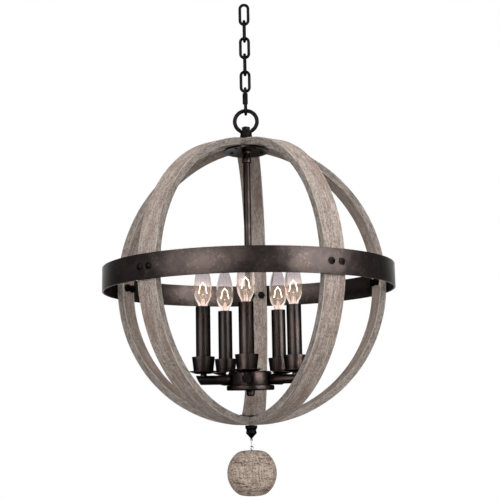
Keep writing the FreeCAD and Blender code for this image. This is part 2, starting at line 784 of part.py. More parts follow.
def arm_screw(number):
    """The round headed screw that holds an arm's collar to the hub."""
    turn = around(CANDLE_START, number)
    head = s.arm_screw_head / 2
    shank = s.arm_screw_shank / 2
    collar = s.collar_diameter / 2
    rim = s.arm_screw_head_height / 2
    depth = (s.collar_diameter - s.arm_diameter) / 2 + s.arm_wall
    return turned(f"arm_screw_{number + 1}", [
        (ZERO, -depth), (shank, -depth), (shank, ZERO), (head, ZERO), (head, rim),
        (ZERO, s.arm_screw_head_height)],
        {4: dome(head, rim, s.arm_screw_head_height)},
        radial(turn, s.arm_screw_radius, ZERO, arm_level + collar))


def at_candle(number, level):
    return radial(around(CANDLE_START, number), s.candle_radius, ZERO, level)


def drip_pan(number):
    """A thin dished pan clamped between neck and cup."""
    hole = s.stud_diameter / 2 + s.bore_fit
    return turned(f"drip_pan_{number + 1}", [
        (hole, ZERO), (s.pan_floor_radius, ZERO), (s.pan_radius, s.pan_rise),
        (s.pan_radius, s.pan_rise + s.pan_thickness),
        (s.pan_floor_radius, s.pan_thickness), (hole, s.pan_thickness)],
        place=at_candle(number, pan_level))


def candle_cup(number):
    """The flared cup that the candle sleeve stands in."""
    hole = s.stud_diameter / 2 + s.bore_fit
    foot = s.pan_floor_radius - s.pan_thickness
    return turned(f"candle_cup_{number + 1}", [
        (hole, ZERO), (foot, ZERO), (s.cup_foot_radius, s.cup_floor),
        (s.cup_rim_radius, s.cup_height), (s.cup_rim_radius - s.cup_wall, s.cup_height),
        (s.cup_foot_radius - s.cup_wall, s.cup_floor + s.cup_wall),
        (s.sleeve_diameter / 2 + s.bore_fit, s.cup_floor + s.cup_wall),
        (s.sleeve_diameter / 2 + s.bore_fit, s.cup_floor), (hole, s.cup_floor)],
        place=at_candle(number, cup_level))


def candle_sleeve(number):
    outer = s.sleeve_diameter / 2
    inner = outer - s.sleeve_wall
    return turned(f"candle_sleeve_{number + 1}", [
        (inner, ZERO), (outer, ZERO), (outer, s.sleeve_length), (inner, s.sleeve_length)],
        place=at_candle(number, sleeve_level))


def socket(number):
    """A lamp holder on a hollow post, all inside the sleeve."""
    outer = s.socket_diameter / 2
    post = s.post_diameter / 2
    grip = s.stud_diameter / 2 + s.thread_fit
    well = s.base_diameter / 2 + s.base_fit
    height = socket_top - sleeve_level
    bottom = height - s.socket_height
    engaged = s.stud_height - s.pan_thickness - s.cup_floor + s.thread_fit
    return turned(f"socket_{number + 1}", [
        (grip, ZERO), (post, ZERO), (post, bottom), (outer, bottom), (outer, height),
        (well, height), (well, height - s.base_length - s.base_fit - s.bulb_seat),
        (s.wire_bore / 2, height - s.base_length - s.socket_floor),
        (s.wire_bore / 2, engaged), (grip, engaged)],
        place=at_candle(number, sleeve_level))


def bulb_base(number):
    """The brass screw cap of the bulb."""
    outer = s.base_diameter / 2
    tip = outer / 2
    return turned(f"bulb_base_{number + 1}", [
        (ZERO, -s.base_length), (tip, -s.base_length), (outer, tip - s.base_length),
        (outer, ZERO), (ZERO, ZERO)],
        place=at_candle(number, socket_top + s.bulb_seat))


def bulb_glass(number):
    """A hollow torpedo of clear glass, open at the neck over its cap."""
    neck, widest, tip = s.neck_glass_radius, s.bulb_radius, s.bulb_tip_radius
    flare, level = s.bulb_flare_radius, s.bulb_flare_height
    wide = s.bulb_widest_height
    shoulder = wide + s.bulb_shoulder
    top = wide + s.bulb_tip_height
    wall = s.glass_wall
    lower = dome_radius(wide - level, widest - flare)
    upper = dome_radius(s.bulb_shoulder, widest - tip)
    return turned(f"bulb_glass_{number + 1}", [
        (neck, ZERO), (flare, level), (widest, wide), (tip, shoulder), (ZERO, top),
        (ZERO, top - wall), (tip - wall, shoulder), (widest - wall, wide),
        (flare - wall, level), (neck - wall, ZERO)],
        {1: (widest - lower, wide, LEFT), 2: (widest - upper, wide, LEFT),
         3: dome(tip, shoulder, top), 5: dome(tip - wall, shoulder, top - wall, RIGHT),
         6: (widest - wall - upper, wide, RIGHT), 7: (widest - wall - lower, wide, RIGHT)},
        at_candle(number, socket_top + s.bulb_seat))


# Bottom finial, link, screw eye and ball

finial_seat = cage_centre - s.rib_radius - s.seat_gap
tongue_level = finial_seat - s.tongue_drop
ball_link_bottom = tongue_level + s.ball_wire - s.ball_link_length
eye_top_wire = ball_link_bottom + (s.ball_wire + s.eye_wire) / 2 + s.link_clearance
eye_centre = eye_top_wire - s.eye_radius
ball_top = eye_centre - s.eye_radius - s.eye_wire / 2 - s.ball_drop
ball_shoulder = s.ball_radius - s.ball_flat_cut
ball_half_height = ball_shoulder + s.ball_crown
ball_centre = ball_top - ball_half_height


def bottom_finial():
    """A turned knob under the ribs that ends in a drilled tongue."""
    shank = s.pipe_diameter / 2
    rod = s.finial_rod_radius
    knob = turned("finial_knob", [
        (ZERO, s.finial_shank_length), (shank, s.finial_shank_length), (shank, ZERO),
        (s.finial_cap_radius, ZERO), (s.finial_cap_radius, -s.finial_cap_height),
        (s.finial_neck_radius, -s.finial_neck_drop),
        (s.finial_bulge_radius, -s.finial_bulge_drop), (rod, -s.finial_tip_drop),
        (rod, -s.tongue_drop), (ZERO, -s.tongue_drop)],
        place=(ZERO, ZERO, finial_seat))
    tongue = doc.addObject("Part::Cylinder", "finial_tongue")
    bind(tongue, "Radius", s.tongue_radius)
    bind(tongue, "Height", s.tongue_thickness)
    settle(tongue, (ZERO, s.tongue_thickness / 2, tongue_level), Rotation(X_AXIS, 90.0))
    whole = doc.addObject("Part::Fuse", "finial_whole")
    whole.Base = knob
    whole.Tool = tongue
    hole = doc.addObject("Part::Cylinder", "finial_hole")
    bind(hole, "Radius", s.tongue_hole / 2)
    bind(hole, "Height", s.tongue_radius * 2)
    settle(hole, (ZERO, s.tongue_radius, tongue_level), Rotation(X_AXIS, 90.0))
    finial = doc.addObject("Part::Cut", "bottom_finial")
    finial.Base = whole
    finial.Tool = hole
    finial.Label = "bottom_finial"
    return finial


def ball_link():
    """The thin wire link between the finial's tongue and the ball's screw eye."""
    middle = tongue_level + (s.ball_wire - s.ball_link_length) / 2
    return oblong_ring("ball_link", s.ball_link_length, s.ball_link_width, s.ball_wire,
                       (ZERO, ZERO, middle), about_z(90.0))


def ball_eye():
    """The screw eye in the top of the ball."""
    ring = doc.addObject("Part::Torus", "eye_ring")
    bind(ring, "Radius1", s.eye_radius)
    bind(ring, "Radius2", s.eye_wire / 2)
    settle(ring, (ZERO, ZERO, eye_centre), Rotation(X_AXIS, 90.0))
    shank = doc.addObject("Part::Cylinder", "eye_shank")
    bind(shank, "Radius", s.eye_wire / 2)
    bind(shank, "Height", s.eye_shank_length)
    settle(shank, (ZERO, ZERO, eye_centre - s.eye_radius - s.eye_shank_length))
    eye = doc.addObject("Part::Fuse", "ball_eye")
    eye.Base = ring
    eye.Tool = shank
    eye.Label = "ball_eye"
    return eye


def wood_ball():
    """A turned ball whose two ends are low crowns, drilled for its eye."""
    rim = root(s.ball_radius * s.ball_radius - ball_shoulder * ball_shoulder)
    crown = dome_radius(rim, s.ball_crown)
    crown_centre = ball_half_height - crown
    hole = s.eye_wire / 2 + s.eye_hole_fit
    mouth = crown_centre + root(crown * crown - hole * hole)
    depth = s.eye_shank_length
    body = turned("wood_ball", [
        (ZERO, -ball_half_height), (rim, -ball_shoulder), (s.ball_radius, ZERO),
        (rim, ball_shoulder), (hole, mouth),
        (hole, ball_half_height - depth), (ZERO, ball_half_height - depth)],
        {0: (ZERO, -crown_centre, LEFT), 1: (ZERO, ZERO, LEFT), 2: (ZERO, ZERO, LEFT),
         3: (ZERO, crown_centre, LEFT)},
        (ZERO, ZERO, ball_centre))
    doc.recompute()
    ball = body.Tip
    rims = [f"Edge{n + 1}" for n, edge in enumerate(ball.Shape.Edges)
            if not edge.Degenerated and isinstance(edge.Curve, Part.Circle)
            and abs(edge.Curve.Radius - rim.value) < s.eye_hole_fit.value]
    ease = body.newObject("PartDesign::Fillet", "ball_rim")
    ease.Base = (ball, rims)
    bind(ease, "Radius", s.ball_edge)
    return body


# All the pieces

keep(*[chain_link(n) for n in range(LINKS)])
keep(quick_link(), quick_link_nut(), hang_loop(), loop_nut(), lamp_pipe())
keep(*[rib(n) for n in range(COUNT)])
keep(equator_band())
keep(group("band_bolts", [band_bolt(a, d, n) for n, (a, d) in enumerate(bolt_places())]))
keep(group("band_nuts", [band_nut(a, d, n) for n, (a, d) in enumerate(bolt_places())]))
keep(rib_disc("top_disc", True), rib_disc("bottom_disc", False))
keep(group("disc_screws", [disc_screw(n, up) for up in (True, False) for n in range(COUNT)]))
keep(disc_nut(), stem_coupling(), stem_tube())
keep(hub_cover(), hub_body(), hub_base(), hub_nut())
keep(*[arm(n) for n in range(COUNT)])
keep(group("arm_screws", [arm_screw(n) for n in range(COUNT)]))
keep(group("drip_pans", [drip_pan(n) for n in range(COUNT)]))
keep(*[candle_cup(n) for n in range(COUNT)])
keep(*[candle_sleeve(n) for n in range(COUNT)])
keep(group("sockets", [socket(n) for n in range(COUNT)]))
keep(*[bulb_base(n) for n in range(COUNT)])
keep(*[bulb_glass(n) for n in range(COUNT)])
keep(bottom_finial(), ball_link(), ball_eye(), wood_ball())

doc.recompute()

faults = [o.Name for o in doc.Objects if "Invalid" in o.State or "Error" in o.State]
faults += [n.Label for n in nodes if n.Shape.isNull() or not n.Shape.isValid()]
if faults:
    raise RuntimeError("these pieces failed: " + ", ".join(faults))

os.makedirs("parts", exist_ok=True)
for node in nodes:
    node.Shape.exportStep(f"parts/{node.Label}.step")
print(f"{len(nodes)} pieces written")
for name, size in (("quick link centre", quick_centre), ("loop centre", loop_centre),
                   ("cage centre", cage_centre), ("arm level", arm_level),
                   ("sleeve top", sleeve_top), ("ball centre", ball_centre)):
    print(name, round(size.value, 2))
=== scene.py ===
"""Finished looks for an orb pendant light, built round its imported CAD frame."""

import math

import bmesh
import bpy
from bpy.props import FloatProperty, FloatVectorProperty, PointerProperty
from mathutils import Matrix, Vector, noise


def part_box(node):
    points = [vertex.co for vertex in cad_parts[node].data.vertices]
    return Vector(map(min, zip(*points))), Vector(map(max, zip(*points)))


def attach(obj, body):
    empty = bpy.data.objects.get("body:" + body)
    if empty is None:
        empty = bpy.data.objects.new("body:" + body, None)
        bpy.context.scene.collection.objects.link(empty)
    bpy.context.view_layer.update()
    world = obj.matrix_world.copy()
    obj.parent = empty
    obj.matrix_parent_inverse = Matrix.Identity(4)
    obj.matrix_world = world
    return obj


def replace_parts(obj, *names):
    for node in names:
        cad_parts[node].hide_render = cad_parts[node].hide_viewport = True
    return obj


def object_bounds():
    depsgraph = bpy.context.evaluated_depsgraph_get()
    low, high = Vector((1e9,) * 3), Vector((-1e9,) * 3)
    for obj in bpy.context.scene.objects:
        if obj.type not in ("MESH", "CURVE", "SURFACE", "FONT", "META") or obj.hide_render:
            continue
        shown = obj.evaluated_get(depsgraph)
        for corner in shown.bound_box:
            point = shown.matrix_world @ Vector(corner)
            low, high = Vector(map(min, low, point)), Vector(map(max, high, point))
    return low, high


bl_info = {
    "name": "Orb Pendant Light",
    "version": (1, 0, 0),
    "blender": (4, 5, 0),
    "location": "View3D > Sidebar > Pendant",
    "description": "Builds the finished pieces, materials and studio of an orb pendant light",
    "category": "Object",
}

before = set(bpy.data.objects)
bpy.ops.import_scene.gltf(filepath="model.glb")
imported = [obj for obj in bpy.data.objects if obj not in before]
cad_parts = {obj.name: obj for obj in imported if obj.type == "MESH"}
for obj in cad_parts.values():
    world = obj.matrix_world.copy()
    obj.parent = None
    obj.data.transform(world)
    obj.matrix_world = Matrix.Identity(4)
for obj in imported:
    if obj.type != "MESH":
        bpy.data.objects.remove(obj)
CAD_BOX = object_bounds()

CANDLES = range(1, 6)
RIBS = range(1, 6)
CHAIN = range(1, 6)
FIFTH = 2 * math.pi / 5
FULL = 2 * math.pi
QUARTER = math.radians(90)
UP = Vector((0, 0, 1))
ALONG_Y = Vector((0, 1, 0))
# Vertices closer than this are one
WELD = 1e-6
# Edges sharper than this are rounded, and shaded as creases where they aren't
CREASE = math.radians(28)
# Faces that turn by less than this from one to the next become one
FLAT = math.radians(0.5)
# Each softbox's size in metres, turn and lift in degrees, and distance
SOFTBOXES = {"key": ((0.6, 1.5), 53, 12, 1.8), "side": ((1.3, 1.8), -33, 12, 2.4),
             "front": ((1.2, 1.2), 4, 19, 2.6), "top": ((1.8, 1.8), 10, 78, 2.0)}
# Each painted metal's two colours, patches per metre, metallic, roughness, specular,
# bump strength, grey at grazing angles, and share of specks rubbed to the band's grey
METALS = {
    "black_iron": ("iron", "iron_worn", 90, 0.95, 0.55, 0.04, 0.3, 0.1, 0),
    "aged_band": ("band", "band_rust", 34, 0.95, 0.25, 0.1, 0.2, 0.5, 0.15),
    "bronze_paint": ("bronze", "bronze_warm", 60, 0.95, 0.3, 0.1, 0.15, 0.15, 0),
    # The discs' copy of the bronze paint is lighter, warmer and less metallic: a painted warm
    # reflection on their undersides
    "disc_paint_with_reflection": ("bronze_warm", "band_rust", 60, 0.7, 0.3, 0.15, 0.15, 0.5, 0),
    "sleeve_paint": ("sleeve", "bronze_warm", 45, 0.95, 0.24, 0.1, 0.05, 0.15, 0),
    "bare_wire": ("wire", "pipe", 200, 0.9, 0.35, 0.3, 0.2, 0.6, 0),
    "bright_screw": ("screw", "pipe", 300, 1.0, 0.22, 0.5, 0.15, 1.0, 0),
    "socket_plastic": ("socket", "bronze", 150, 0.0, 0.45, 0.4, 0.2, 0.5, 0),
    "cap_metal": ("cap", "band_grey", 180, 1.0, 0.3, 0.5, 0.2, 1.0, 0),
}


def paint(red, green, blue):
    """A screen colour, 0 to 255, as the linear numbers that Blender's sockets hold."""
    return tuple(((c / 255 + 0.055) / 1.055) ** 2.4 if c > 10 else c / 255 / 12.92
                 for c in (red, green, blue))


def colour(name, description, red, green, blue):
    return FloatVectorProperty(name=name, description=description, subtype="COLOR",
                               min=0, max=1, default=paint(red, green, blue))


def amount(name, description, default, unit="NONE"):
    return FloatProperty(name=name, description=description, unit=unit, min=0,
                         precision=5, default=default)


def length(name, description, metres):
    return amount(name, description, metres, "LENGTH")


def rib_turn(number):
    """A rib's turn about Z, from +X; the first one stands on +Y."""
    return QUARTER + FIFTH * (number - 1)


def middle(part):
    low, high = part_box(part)
    return (low + high) / 2


def span(part):
    low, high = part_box(part)
    return high - low


# Sizes and colours

class PENDANT_PG_sizes(bpy.types.PropertyGroup):
    """Sizes that the finished pieces add to the frame's own."""
    rib_thickness: length("Rib thickness", "Board thickness of a rib", 0.0127)
    rib_corner: length("Rib corner", "Rounding of a rib's long corners", 0.0009)
    rib_wear: length("Rib wear", "How deep the board's face is worn in places", 0.0004)
    mitre_gap: length("Mitre gap", "Gap from a rib's mitred end to its neighbour", 0.0002)
    pipe_gap: length("Pipe gap", "Gap from a rib's tip to the pipe", 0.0004)
    stem_wall: length("Stem wall", "Thickness of the stem tube", 0.0014)
    band_wall: length("Band wall", "Thickness of the iron band", 0.003)
    edge: length("Metal edge", "Rounding of edges on turned and cast metal", 0.0004)
    bolt_head: length("Bolt head", "Width of a band bolt's head", 0.012)
    bolt_rise: length("Bolt rise", "Height of a band bolt's head", 0.0042)
    bolt_shank: length("Bolt shank", "Width of a band bolt's shank", 0.006)
    bolt_spacing: length("Bolt spacing", "Distance between a rib's two bolts", 0.0195)
    glass_wall: length("Glass wall", "Thickness of a bulb's glass", 0.0011)
    filament_wire: length("Filament wire", "Thickness of the filament", 0.0012)
    filament_spread: length("Filament spread", "Half the filament's width", 0.0072)
    lead_wire: length("Lead wire", "Thickness of the wires that hold the filament", 0.0005)
    flare_radius: length("Neck flare", "Radius where a bulb's neck becomes its belly", 0.0092)
    flare_height: length("Flare height", "How high the neck becomes the belly", 0.0085)
    widest_height: length("Widest height", "How high a bulb is widest", 0.032)
    thread_pitch: length("Cap thread", "Pitch of a bulb cap's rolled thread", 0.0025)
    thread_edge: length("Thread edge", "Rounding of the cap's rolled thread", 0.0001)
    filament_sag: length("Filament sag", "How far it sags between two hooks", 0.0007)
    ball_crown: length("Ball crown", "Rise of the ball's crowned ends", 0.002)
    ball_shoulder: length("Ball shoulder", "Rounding where the ball meets its crowns", 0.020)


class PENDANT_PG_colours(bpy.types.PropertyGroup):
    """Colours of the finishes."""
    wood_pale: colour("Pale wood", "The greyed, washed wood of the ribs", 194, 181, 173)
    wood_brown: colour("Brown wood", "The streaks between the greyed grain", 142, 127, 116)
    wood_rosy: colour("Rosy wood", "Warmer patches under the wash", 146, 124, 113)
    # Also darkens the corners in patches, partly as painted shade
    wood_dark: colour("Dark wood", "Pores, cracks and knots", 78, 63, 56)
    # Pale corners: partly wear, partly a painted highlight along the rounded corners
    worn_edge_and_highlight: colour("Worn wood", "Corners rubbed back to pale wood", 208, 199, 192)
    side_pale: colour("Pale side", "The sawn sides of the ribs, greyer than their faces",
                      170, 161, 154)
    side_dark: colour("Side scratches", "Scratches in the sawn sides", 106, 95, 88)
    ball_pale: colour("Ball wash", "The whitewash on the ball", 208, 191, 177)
    ball_brown: colour("Ball wood", "Bare wood that shows through the wash", 112, 92, 79)
    iron: colour("Black iron", "Chain, ring and finial", 3, 3, 3)
    iron_worn: colour("Worn iron", "Paler patches on the iron", 6, 5, 5)
    band: colour("Band", "The band's dark brown finish", 29, 25, 24)
    band_rust: colour("Band rust", "Reddish patches on the band", 32, 27, 25)
    band_grey: colour("Band rub", "Specks rubbed to grey on the band", 92, 82, 76)
    bronze: colour("Bronze paint", "Hub, arms, cups and pans", 23, 20, 19)
    bronze_warm: colour("Bronze mottle", "Warmer mottling in the bronze paint", 31, 24, 22)
    sleeve: colour("Sleeve", "The candle sleeves' dark brown", 33, 30, 29)
    wire: colour("Bare wire", "The small link and eye above the ball", 66, 62, 59)
    screw: colour("Screw", "The arms' bright screw heads", 196, 190, 182)
    pipe: colour("Pipe", "The threaded pipe inside the column", 120, 116, 110)
    cap: colour("Bulb cap", "The bulbs' rolled screw caps", 186, 170, 132)
    socket: colour("Socket", "The lamp holders inside the sleeves", 28, 27, 27)
    # A painted glow of the filament on the lower glass
    glass_glow_below: colour("Glass below", "The bulbs' warm lower glass", 250, 240, 236)
    glass_high: colour("Glass above", "The bulbs' cool upper glass", 212, 205, 207)
    glow: colour("Glow", "The filament's light", 255, 232, 206)


class PENDANT_PG_studio(bpy.types.PropertyGroup):
    """The camera and the light of the studio."""
    camera_place: FloatVectorProperty(
        name="Camera place", description="Where the camera stands", subtype="XYZ",
        unit="LENGTH", default=(0.10875, -1.6954, -0.72654))
    camera_turn: FloatVectorProperty(
        name="Camera turn", description="How the camera is turned", subtype="EULER",
        unit="ROTATION",
        default=(math.radians(99.111), math.radians(1.021), math.radians(3.722)))
    lens: amount("Lens", "Focal length in millimetres", 70.1)
    floor_drop: length("Floor drop", "How far the floor lies under the light", 0.75)
    floor_reach: length("Floor reach", "Radius of the floor", 3.0)
    fill: amount("Fill", "Strength of the light from all round", 0.38)
    key: amount("Key", "Power of the softbox on the right", 14, "POWER")
    side: amount("Side", "Power of the softbox on the left", 16, "POWER")
    front: amount("Front", "Power of the softbox by the camera", 17.5, "POWER")
    top: amount("Top", "Power of the softbox overhead", 8.5, "POWER")
    key_glint: amount("Key glint", "How much brighter gloss shows the key softbox", 40)
    side_glint: amount("Side glint", "How much brighter gloss shows the side softbox", 50)


def sizes():
    return bpy.context.scene.pendant_sizes


def colours():
    return bpy.context.scene.pendant_colours


# Making forms

def lathe(outline, steps=48, closed=True):
    """A form spun about Z from an outline of radius and height."""
    form = bmesh.new()
    points = [form.verts.new((radius, 0, height)) for radius, height in outline]
    pairs = list(zip(points, points[1:])) + ([(points[-1], points[0])] if closed else [])
    sides = [form.edges.new(pair) for pair in pairs]
    bmesh.ops.spin(form, geom=points + sides, cent=(0, 0, 0), axis=UP, dvec=(0, 0, 0),
                   angle=FULL, steps=steps, use_merge=True, use_duplicate=False)
    bmesh.ops.remove_doubles(form, verts=form.verts, dist=WELD)
    return form


def sweep(centre, radius, start, end, steps):
    """Points of an arc about a centre, from one angle to another."""
    turns = [start + (end - start) * step / steps for step in range(steps + 1)]
    return [(centre[0] + radius * math.cos(turn), centre[1] + radius * math.sin(turn))
            for turn in turns]


def arc(start, end, rise, steps):
    """Points from start to end on an arc that bulges to the left by rise."""
    start, end = Vector(start), Vector(end)
    half = (end - start) / 2
    left = Vector((-half.y, half.x)).normalized()
    radius = (half.length_squared + rise * rise) / (2 * rise)
    centre = start + half + left * (rise - radius)
    first = math.atan2(start.y - centre.y, start.x - centre.x)
    reach = math.asin(half.length / radius)
    return sweep(centre, radius, first, first - 2 * reach, steps)


def sharp_edges(form):
    return [edge for edge in form.edges
            if len(edge.link_faces) == 2 and edge.calc_face_angle() > CREASE]


def round_edges(form, width):
    bmesh.ops.bevel(form, geom=sharp_edges(form), offset=width, offset_type="OFFSET",
                    segments=2, profile=0.5, affect="EDGES", clamp_overlap=True,
                    material=-1)
    return form


def softened(part, width):
    """A merged copy of a CAD node's mesh with its sharp edges rounded."""
    form = bmesh.new()
    form.from_mesh(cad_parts[part].data)
    bmesh.ops.remove_doubles(form, verts=form.verts, dist=WELD)
    bmesh.ops.dissolve_limit(form, angle_limit=FLAT, verts=form.verts, edges=form.edges,
                             use_dissolve_boundaries=False)
    return round_edges(form, width)


def run_on(form, ring, way):
    """Carry a ring of edges straight on, and give the new ring."""
    grown = bmesh.ops.extrude_edge_only(form, edges=ring)["geom"]
    ends = {item for item in grown if isinstance(item, bmesh.types.BMVert)}
    bmesh.ops.translate(form, verts=list(ends), vec=way)
    return [item for item in grown if isinstance(item, bmesh.types.BMEdge)
            and item.verts[0] in ends and item.verts[1] in ends]


def bend_round(form, ring, centre, axis):
    """Carry a ring of edges round half a turn, and give the new ring."""
    corners = list({corner for edge in ring for corner in edge.verts})
    last = bmesh.ops.spin(form, geom=corners + ring, cent=centre, axis=axis,
                          dvec=(0, 0, 0), angle=math.pi, steps=18, use_merge=False,
                          use_duplicate=False)["geom_last"]
    return [item for item in last if isinstance(item, bmesh.types.BMEdge)]


def oblong(long, wide, wire):
    """A closed link of round wire, upright in the XZ plane."""
    form = bmesh.new()
    side, straight = (wide - wire) / 2, (long - wide) / 2
    made = bmesh.ops.create_circle(form, segments=18, radius=wire / 2, cap_ends=False,
                                   matrix=Matrix.Translation((side, 0, -straight)))
    ring = list({edge for corner in made["verts"] for edge in corner.link_edges})
    ring = run_on(form, ring, UP * straight * 2)
    ring = bend_round(form, ring, UP * straight, -ALONG_Y)
    ring = run_on(form, ring, -UP * straight * 2)
    bend_round(form, ring, -UP * straight, -ALONG_Y)
    bmesh.ops.remove_doubles(form, verts=form.verts, dist=WELD)
    return form


def put(form, place, turn=0):
    """Turn a form about Z, and move it to its place."""
    form.transform(Matrix.Translation(place) @ Matrix.Rotation(turn, 4, "Z"))
    return form


def mesh_of(name, form):
    """A mesh with a form's shape, which is used up."""
    mesh = bpy.data.meshes.new(name)
    form.to_mesh(mesh)
    form.free()
    return mesh


def added(name, data):
    """An object put into the scene."""
    thing = bpy.data.objects.new(name, data)
    bpy.context.scene.collection.objects.link(thing)
    return thing


def repeated(form, places):
    """One form with a copy of the given one at each place."""
    stamp = mesh_of("stamp", form)
    whole = bmesh.new()
    for place in places:
        stamp.transform(place)
        whole.from_mesh(stamp)
        stamp.transform(place.inverted())
    bpy.data.meshes.remove(stamp)
    return whole


def finished(name, form, body, material, slot, *nodes):
    """Turn a form into a piece that rides on a body and stands for its CAD nodes."""
    bmesh.ops.remove_doubles(form, verts=form.verts, dist=WELD)
    bmesh.ops.recalc_face_normals(form, faces=form.faces)
    for face in form.faces:
        face.smooth = True
    for edge in sharp_edges(form):
        edge.smooth = False
    mesh = mesh_of(name, form)
    mesh.materials.append(material)
    piece = added(name, mesh)
    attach(piece, body)
    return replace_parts(piece, *nodes)


def recast(name, part, finish, slot, body="fixture"):
    """A painted piece with a CAD node's own form, its sharp edges rounded."""
    return finished(name, softened(part, sizes().edge), body, painted(finish), slot, part)


def dress(part, material):
    """Give a CAD node that stays a finish of its own."""
    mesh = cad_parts[part].data
    mesh.materials.clear()
    mesh.materials.append(material)


# Shader helpers

def node(tree, kind, inputs=None, **settings):
    """A shader node with its settings, and its sockets set or linked."""
    made = tree.nodes.new(f"ShaderNode{kind}")
    for key, value in settings.items():
        setattr(made, key, value)
    for key, value in (inputs or {}).items():
        if isinstance(value, bpy.types.NodeSocket):
            tree.links.new(value, made.inputs[key])
        else:
            made.inputs[key].default_value = value
    return made


def sums(tree, operation, first, second):
    return node(tree, "Math", {0: first, 1: second}, operation=operation).outputs[0]


def faded(tree, value, low, high, to_low=0.0, to_high=1.0):
    """A value spread smoothly from one range to another."""
    return node(tree, "MapRange", {"Value": value, "From Min": low, "From Max": high,
                                   "To Min": to_low, "To Max": to_high},
                interpolation_type="SMOOTHSTEP").outputs["Result"]


def mixed(tree, share, first, second):
    """Two colours mixed by a share."""
    def solid(value):
        return value if isinstance(value, bpy.types.NodeSocket) else (*value, 1)
    return node(tree, "Mix", {0: share, 6: solid(first), 7: solid(second)},
                data_type="RGBA").outputs[2]


def noisy(tree, vector, stretch, detail=3.0, roughness=0.55, distortion=0.0):
    """Noise whose grains are one over stretch long each way, in metres."""
    spot = node(tree, "Mapping", {"Vector": vector, "Scale": stretch}).outputs[0]
    return node(tree, "TexNoise", {"Vector": spot, "Scale": 1.0, "Detail": detail,
                                   "Roughness": roughness, "Distortion": distortion},
                noise_dimensions="3D").outputs["Fac"]


def group(name, inputs, outputs, fill):
    """A shader node group, made once: fill links its inputs to its outputs."""
    tree = bpy.data.node_groups.get(name)
    if tree:
        return tree
    tree = bpy.data.node_groups.new(name, "ShaderNodeTree")
    kinds = {"Vector": "NodeSocketVector", "Stretch": "NodeSocketVector"}
    for key, value in inputs.items():
        made = tree.interface.new_socket(key, in_out="INPUT",
                                         socket_type=kinds.get(key, "NodeSocketFloat"))
        if value is not None:
            made.default_value = value
    for key in outputs:
        tree.interface.new_socket(key, in_out="OUTPUT", socket_type="NodeSocketFloat")
    start = tree.nodes.new("NodeGroupInput").outputs
    end = tree.nodes.new("NodeGroupOutput").inputs
    for key, value in fill(tree, start).items():
        tree.links.new(value, end[key])
    return tree


def placed(tree, shared, inputs):
    """A node group put into a material with its own values."""
    return node(tree, "Group", inputs, node_tree=shared).outputs


def grain():
    """Streaks and pores, one over Stretch long each way in metres, and their height."""
    def fill(tree, start):
        vector = node(tree, "VectorMath", {0: start["Vector"], 1: start["Stretch"]},
                      operation="MULTIPLY").outputs[0]
        broad = noisy(tree, vector, (0.25, 0.25, 0.25), 3, 0.5, 0.3)
        middling = noisy(tree, vector, (1, 1, 1), 4, 0.65, 0.2)
        fine = noisy(tree, vector, (6.0, 1.4, 1.4), 3, 0.65)
        pores = faded(tree, noisy(tree, vector, (2.6, 4.2, 4.2), 2, 0.5), 0.58, 0.68)
        streak = sums(tree, "ADD", sums(tree, "MULTIPLY", broad, 0.18), sums(
            tree, "ADD", sums(tree, "MULTIPLY", middling, 0.36),
            sums(tree, "MULTIPLY", fine, 0.46)))
        height = sums(tree, "SUBTRACT", streak, sums(tree, "MULTIPLY", pores, 0.4))
        return {"Streak": streak, "Pore": pores, "Height": height}
    return group("grain", {"Vector": None, "Stretch": (40, 250, 250)},
                 ("Streak", "Pore", "Height"), fill)


def metal_mottle():
    """Cloudy patches, small specks and hammered unevenness for painted metal."""
    def fill(tree, start):
        scaled = node(tree, "VectorMath", {0: start["Vector"], 3: start["Scale"]},
                      operation="SCALE").outputs[0]
        patch = noisy(tree, scaled, (1, 1, 1), 5, 0.62, 0.4)
        specks = faded(tree, noisy(tree, scaled, (9, 9, 9), 3, 0.6), 0.58, 0.68)
        dents = noisy(tree, scaled, (3.5, 3.5, 3.5), 3, 0.5)
        height = sums(tree, "ADD", dents, sums(tree, "MULTIPLY", specks, 0.15))
        return {"Patch": patch, "Speck": specks, "Height": height}
    return group("metal_mottle", {"Vector": None, "Scale": 30.0},
                 ("Patch", "Speck", "Height"), fill)


def finish_name(name):
    """Told apart from the frame's own materials, which are named after their slots."""
    return f"{name}_finish"


def new_material(name):
    """An empty material with its Principled shader."""
    material = bpy.data.materials.new(finish_name(name))
    material.use_nodes = True
    tree = material.node_tree
    tree.nodes.clear()
    shader = tree.nodes.new("ShaderNodeBsdfPrincipled")
    out = tree.nodes.new("ShaderNodeOutputMaterial")
    tree.links.new(shader.outputs[0], out.inputs["Surface"])
    return material, tree, shader


def set_shader(tree, shader, **values):
    """Set or link sockets of a Principled shader, named with underscores for spaces."""
    for key, value in values.items():
        socket = shader.inputs[key.replace("_", " ")]
        if isinstance(value, bpy.types.NodeSocket):
            tree.links.new(value, socket)
        elif socket.type == "RGBA":
            socket.default_value = (*value, 1)
        else:
            socket.default_value = value


def bumped(tree, height, strength, distance):
    return node(tree, "Bump", {"Height": height, "Strength": strength,
                               "Distance": distance}).outputs[0]


def object_place(tree):
    return tree.nodes.new("ShaderNodeTexCoord").outputs["Object"]


def once(make):
    """Keep a material that is already there instead of making it again."""
    def kept(name=make.__name__):
        return bpy.data.materials.get(finish_name(name)) or make(name)
    return kept


# Finishes

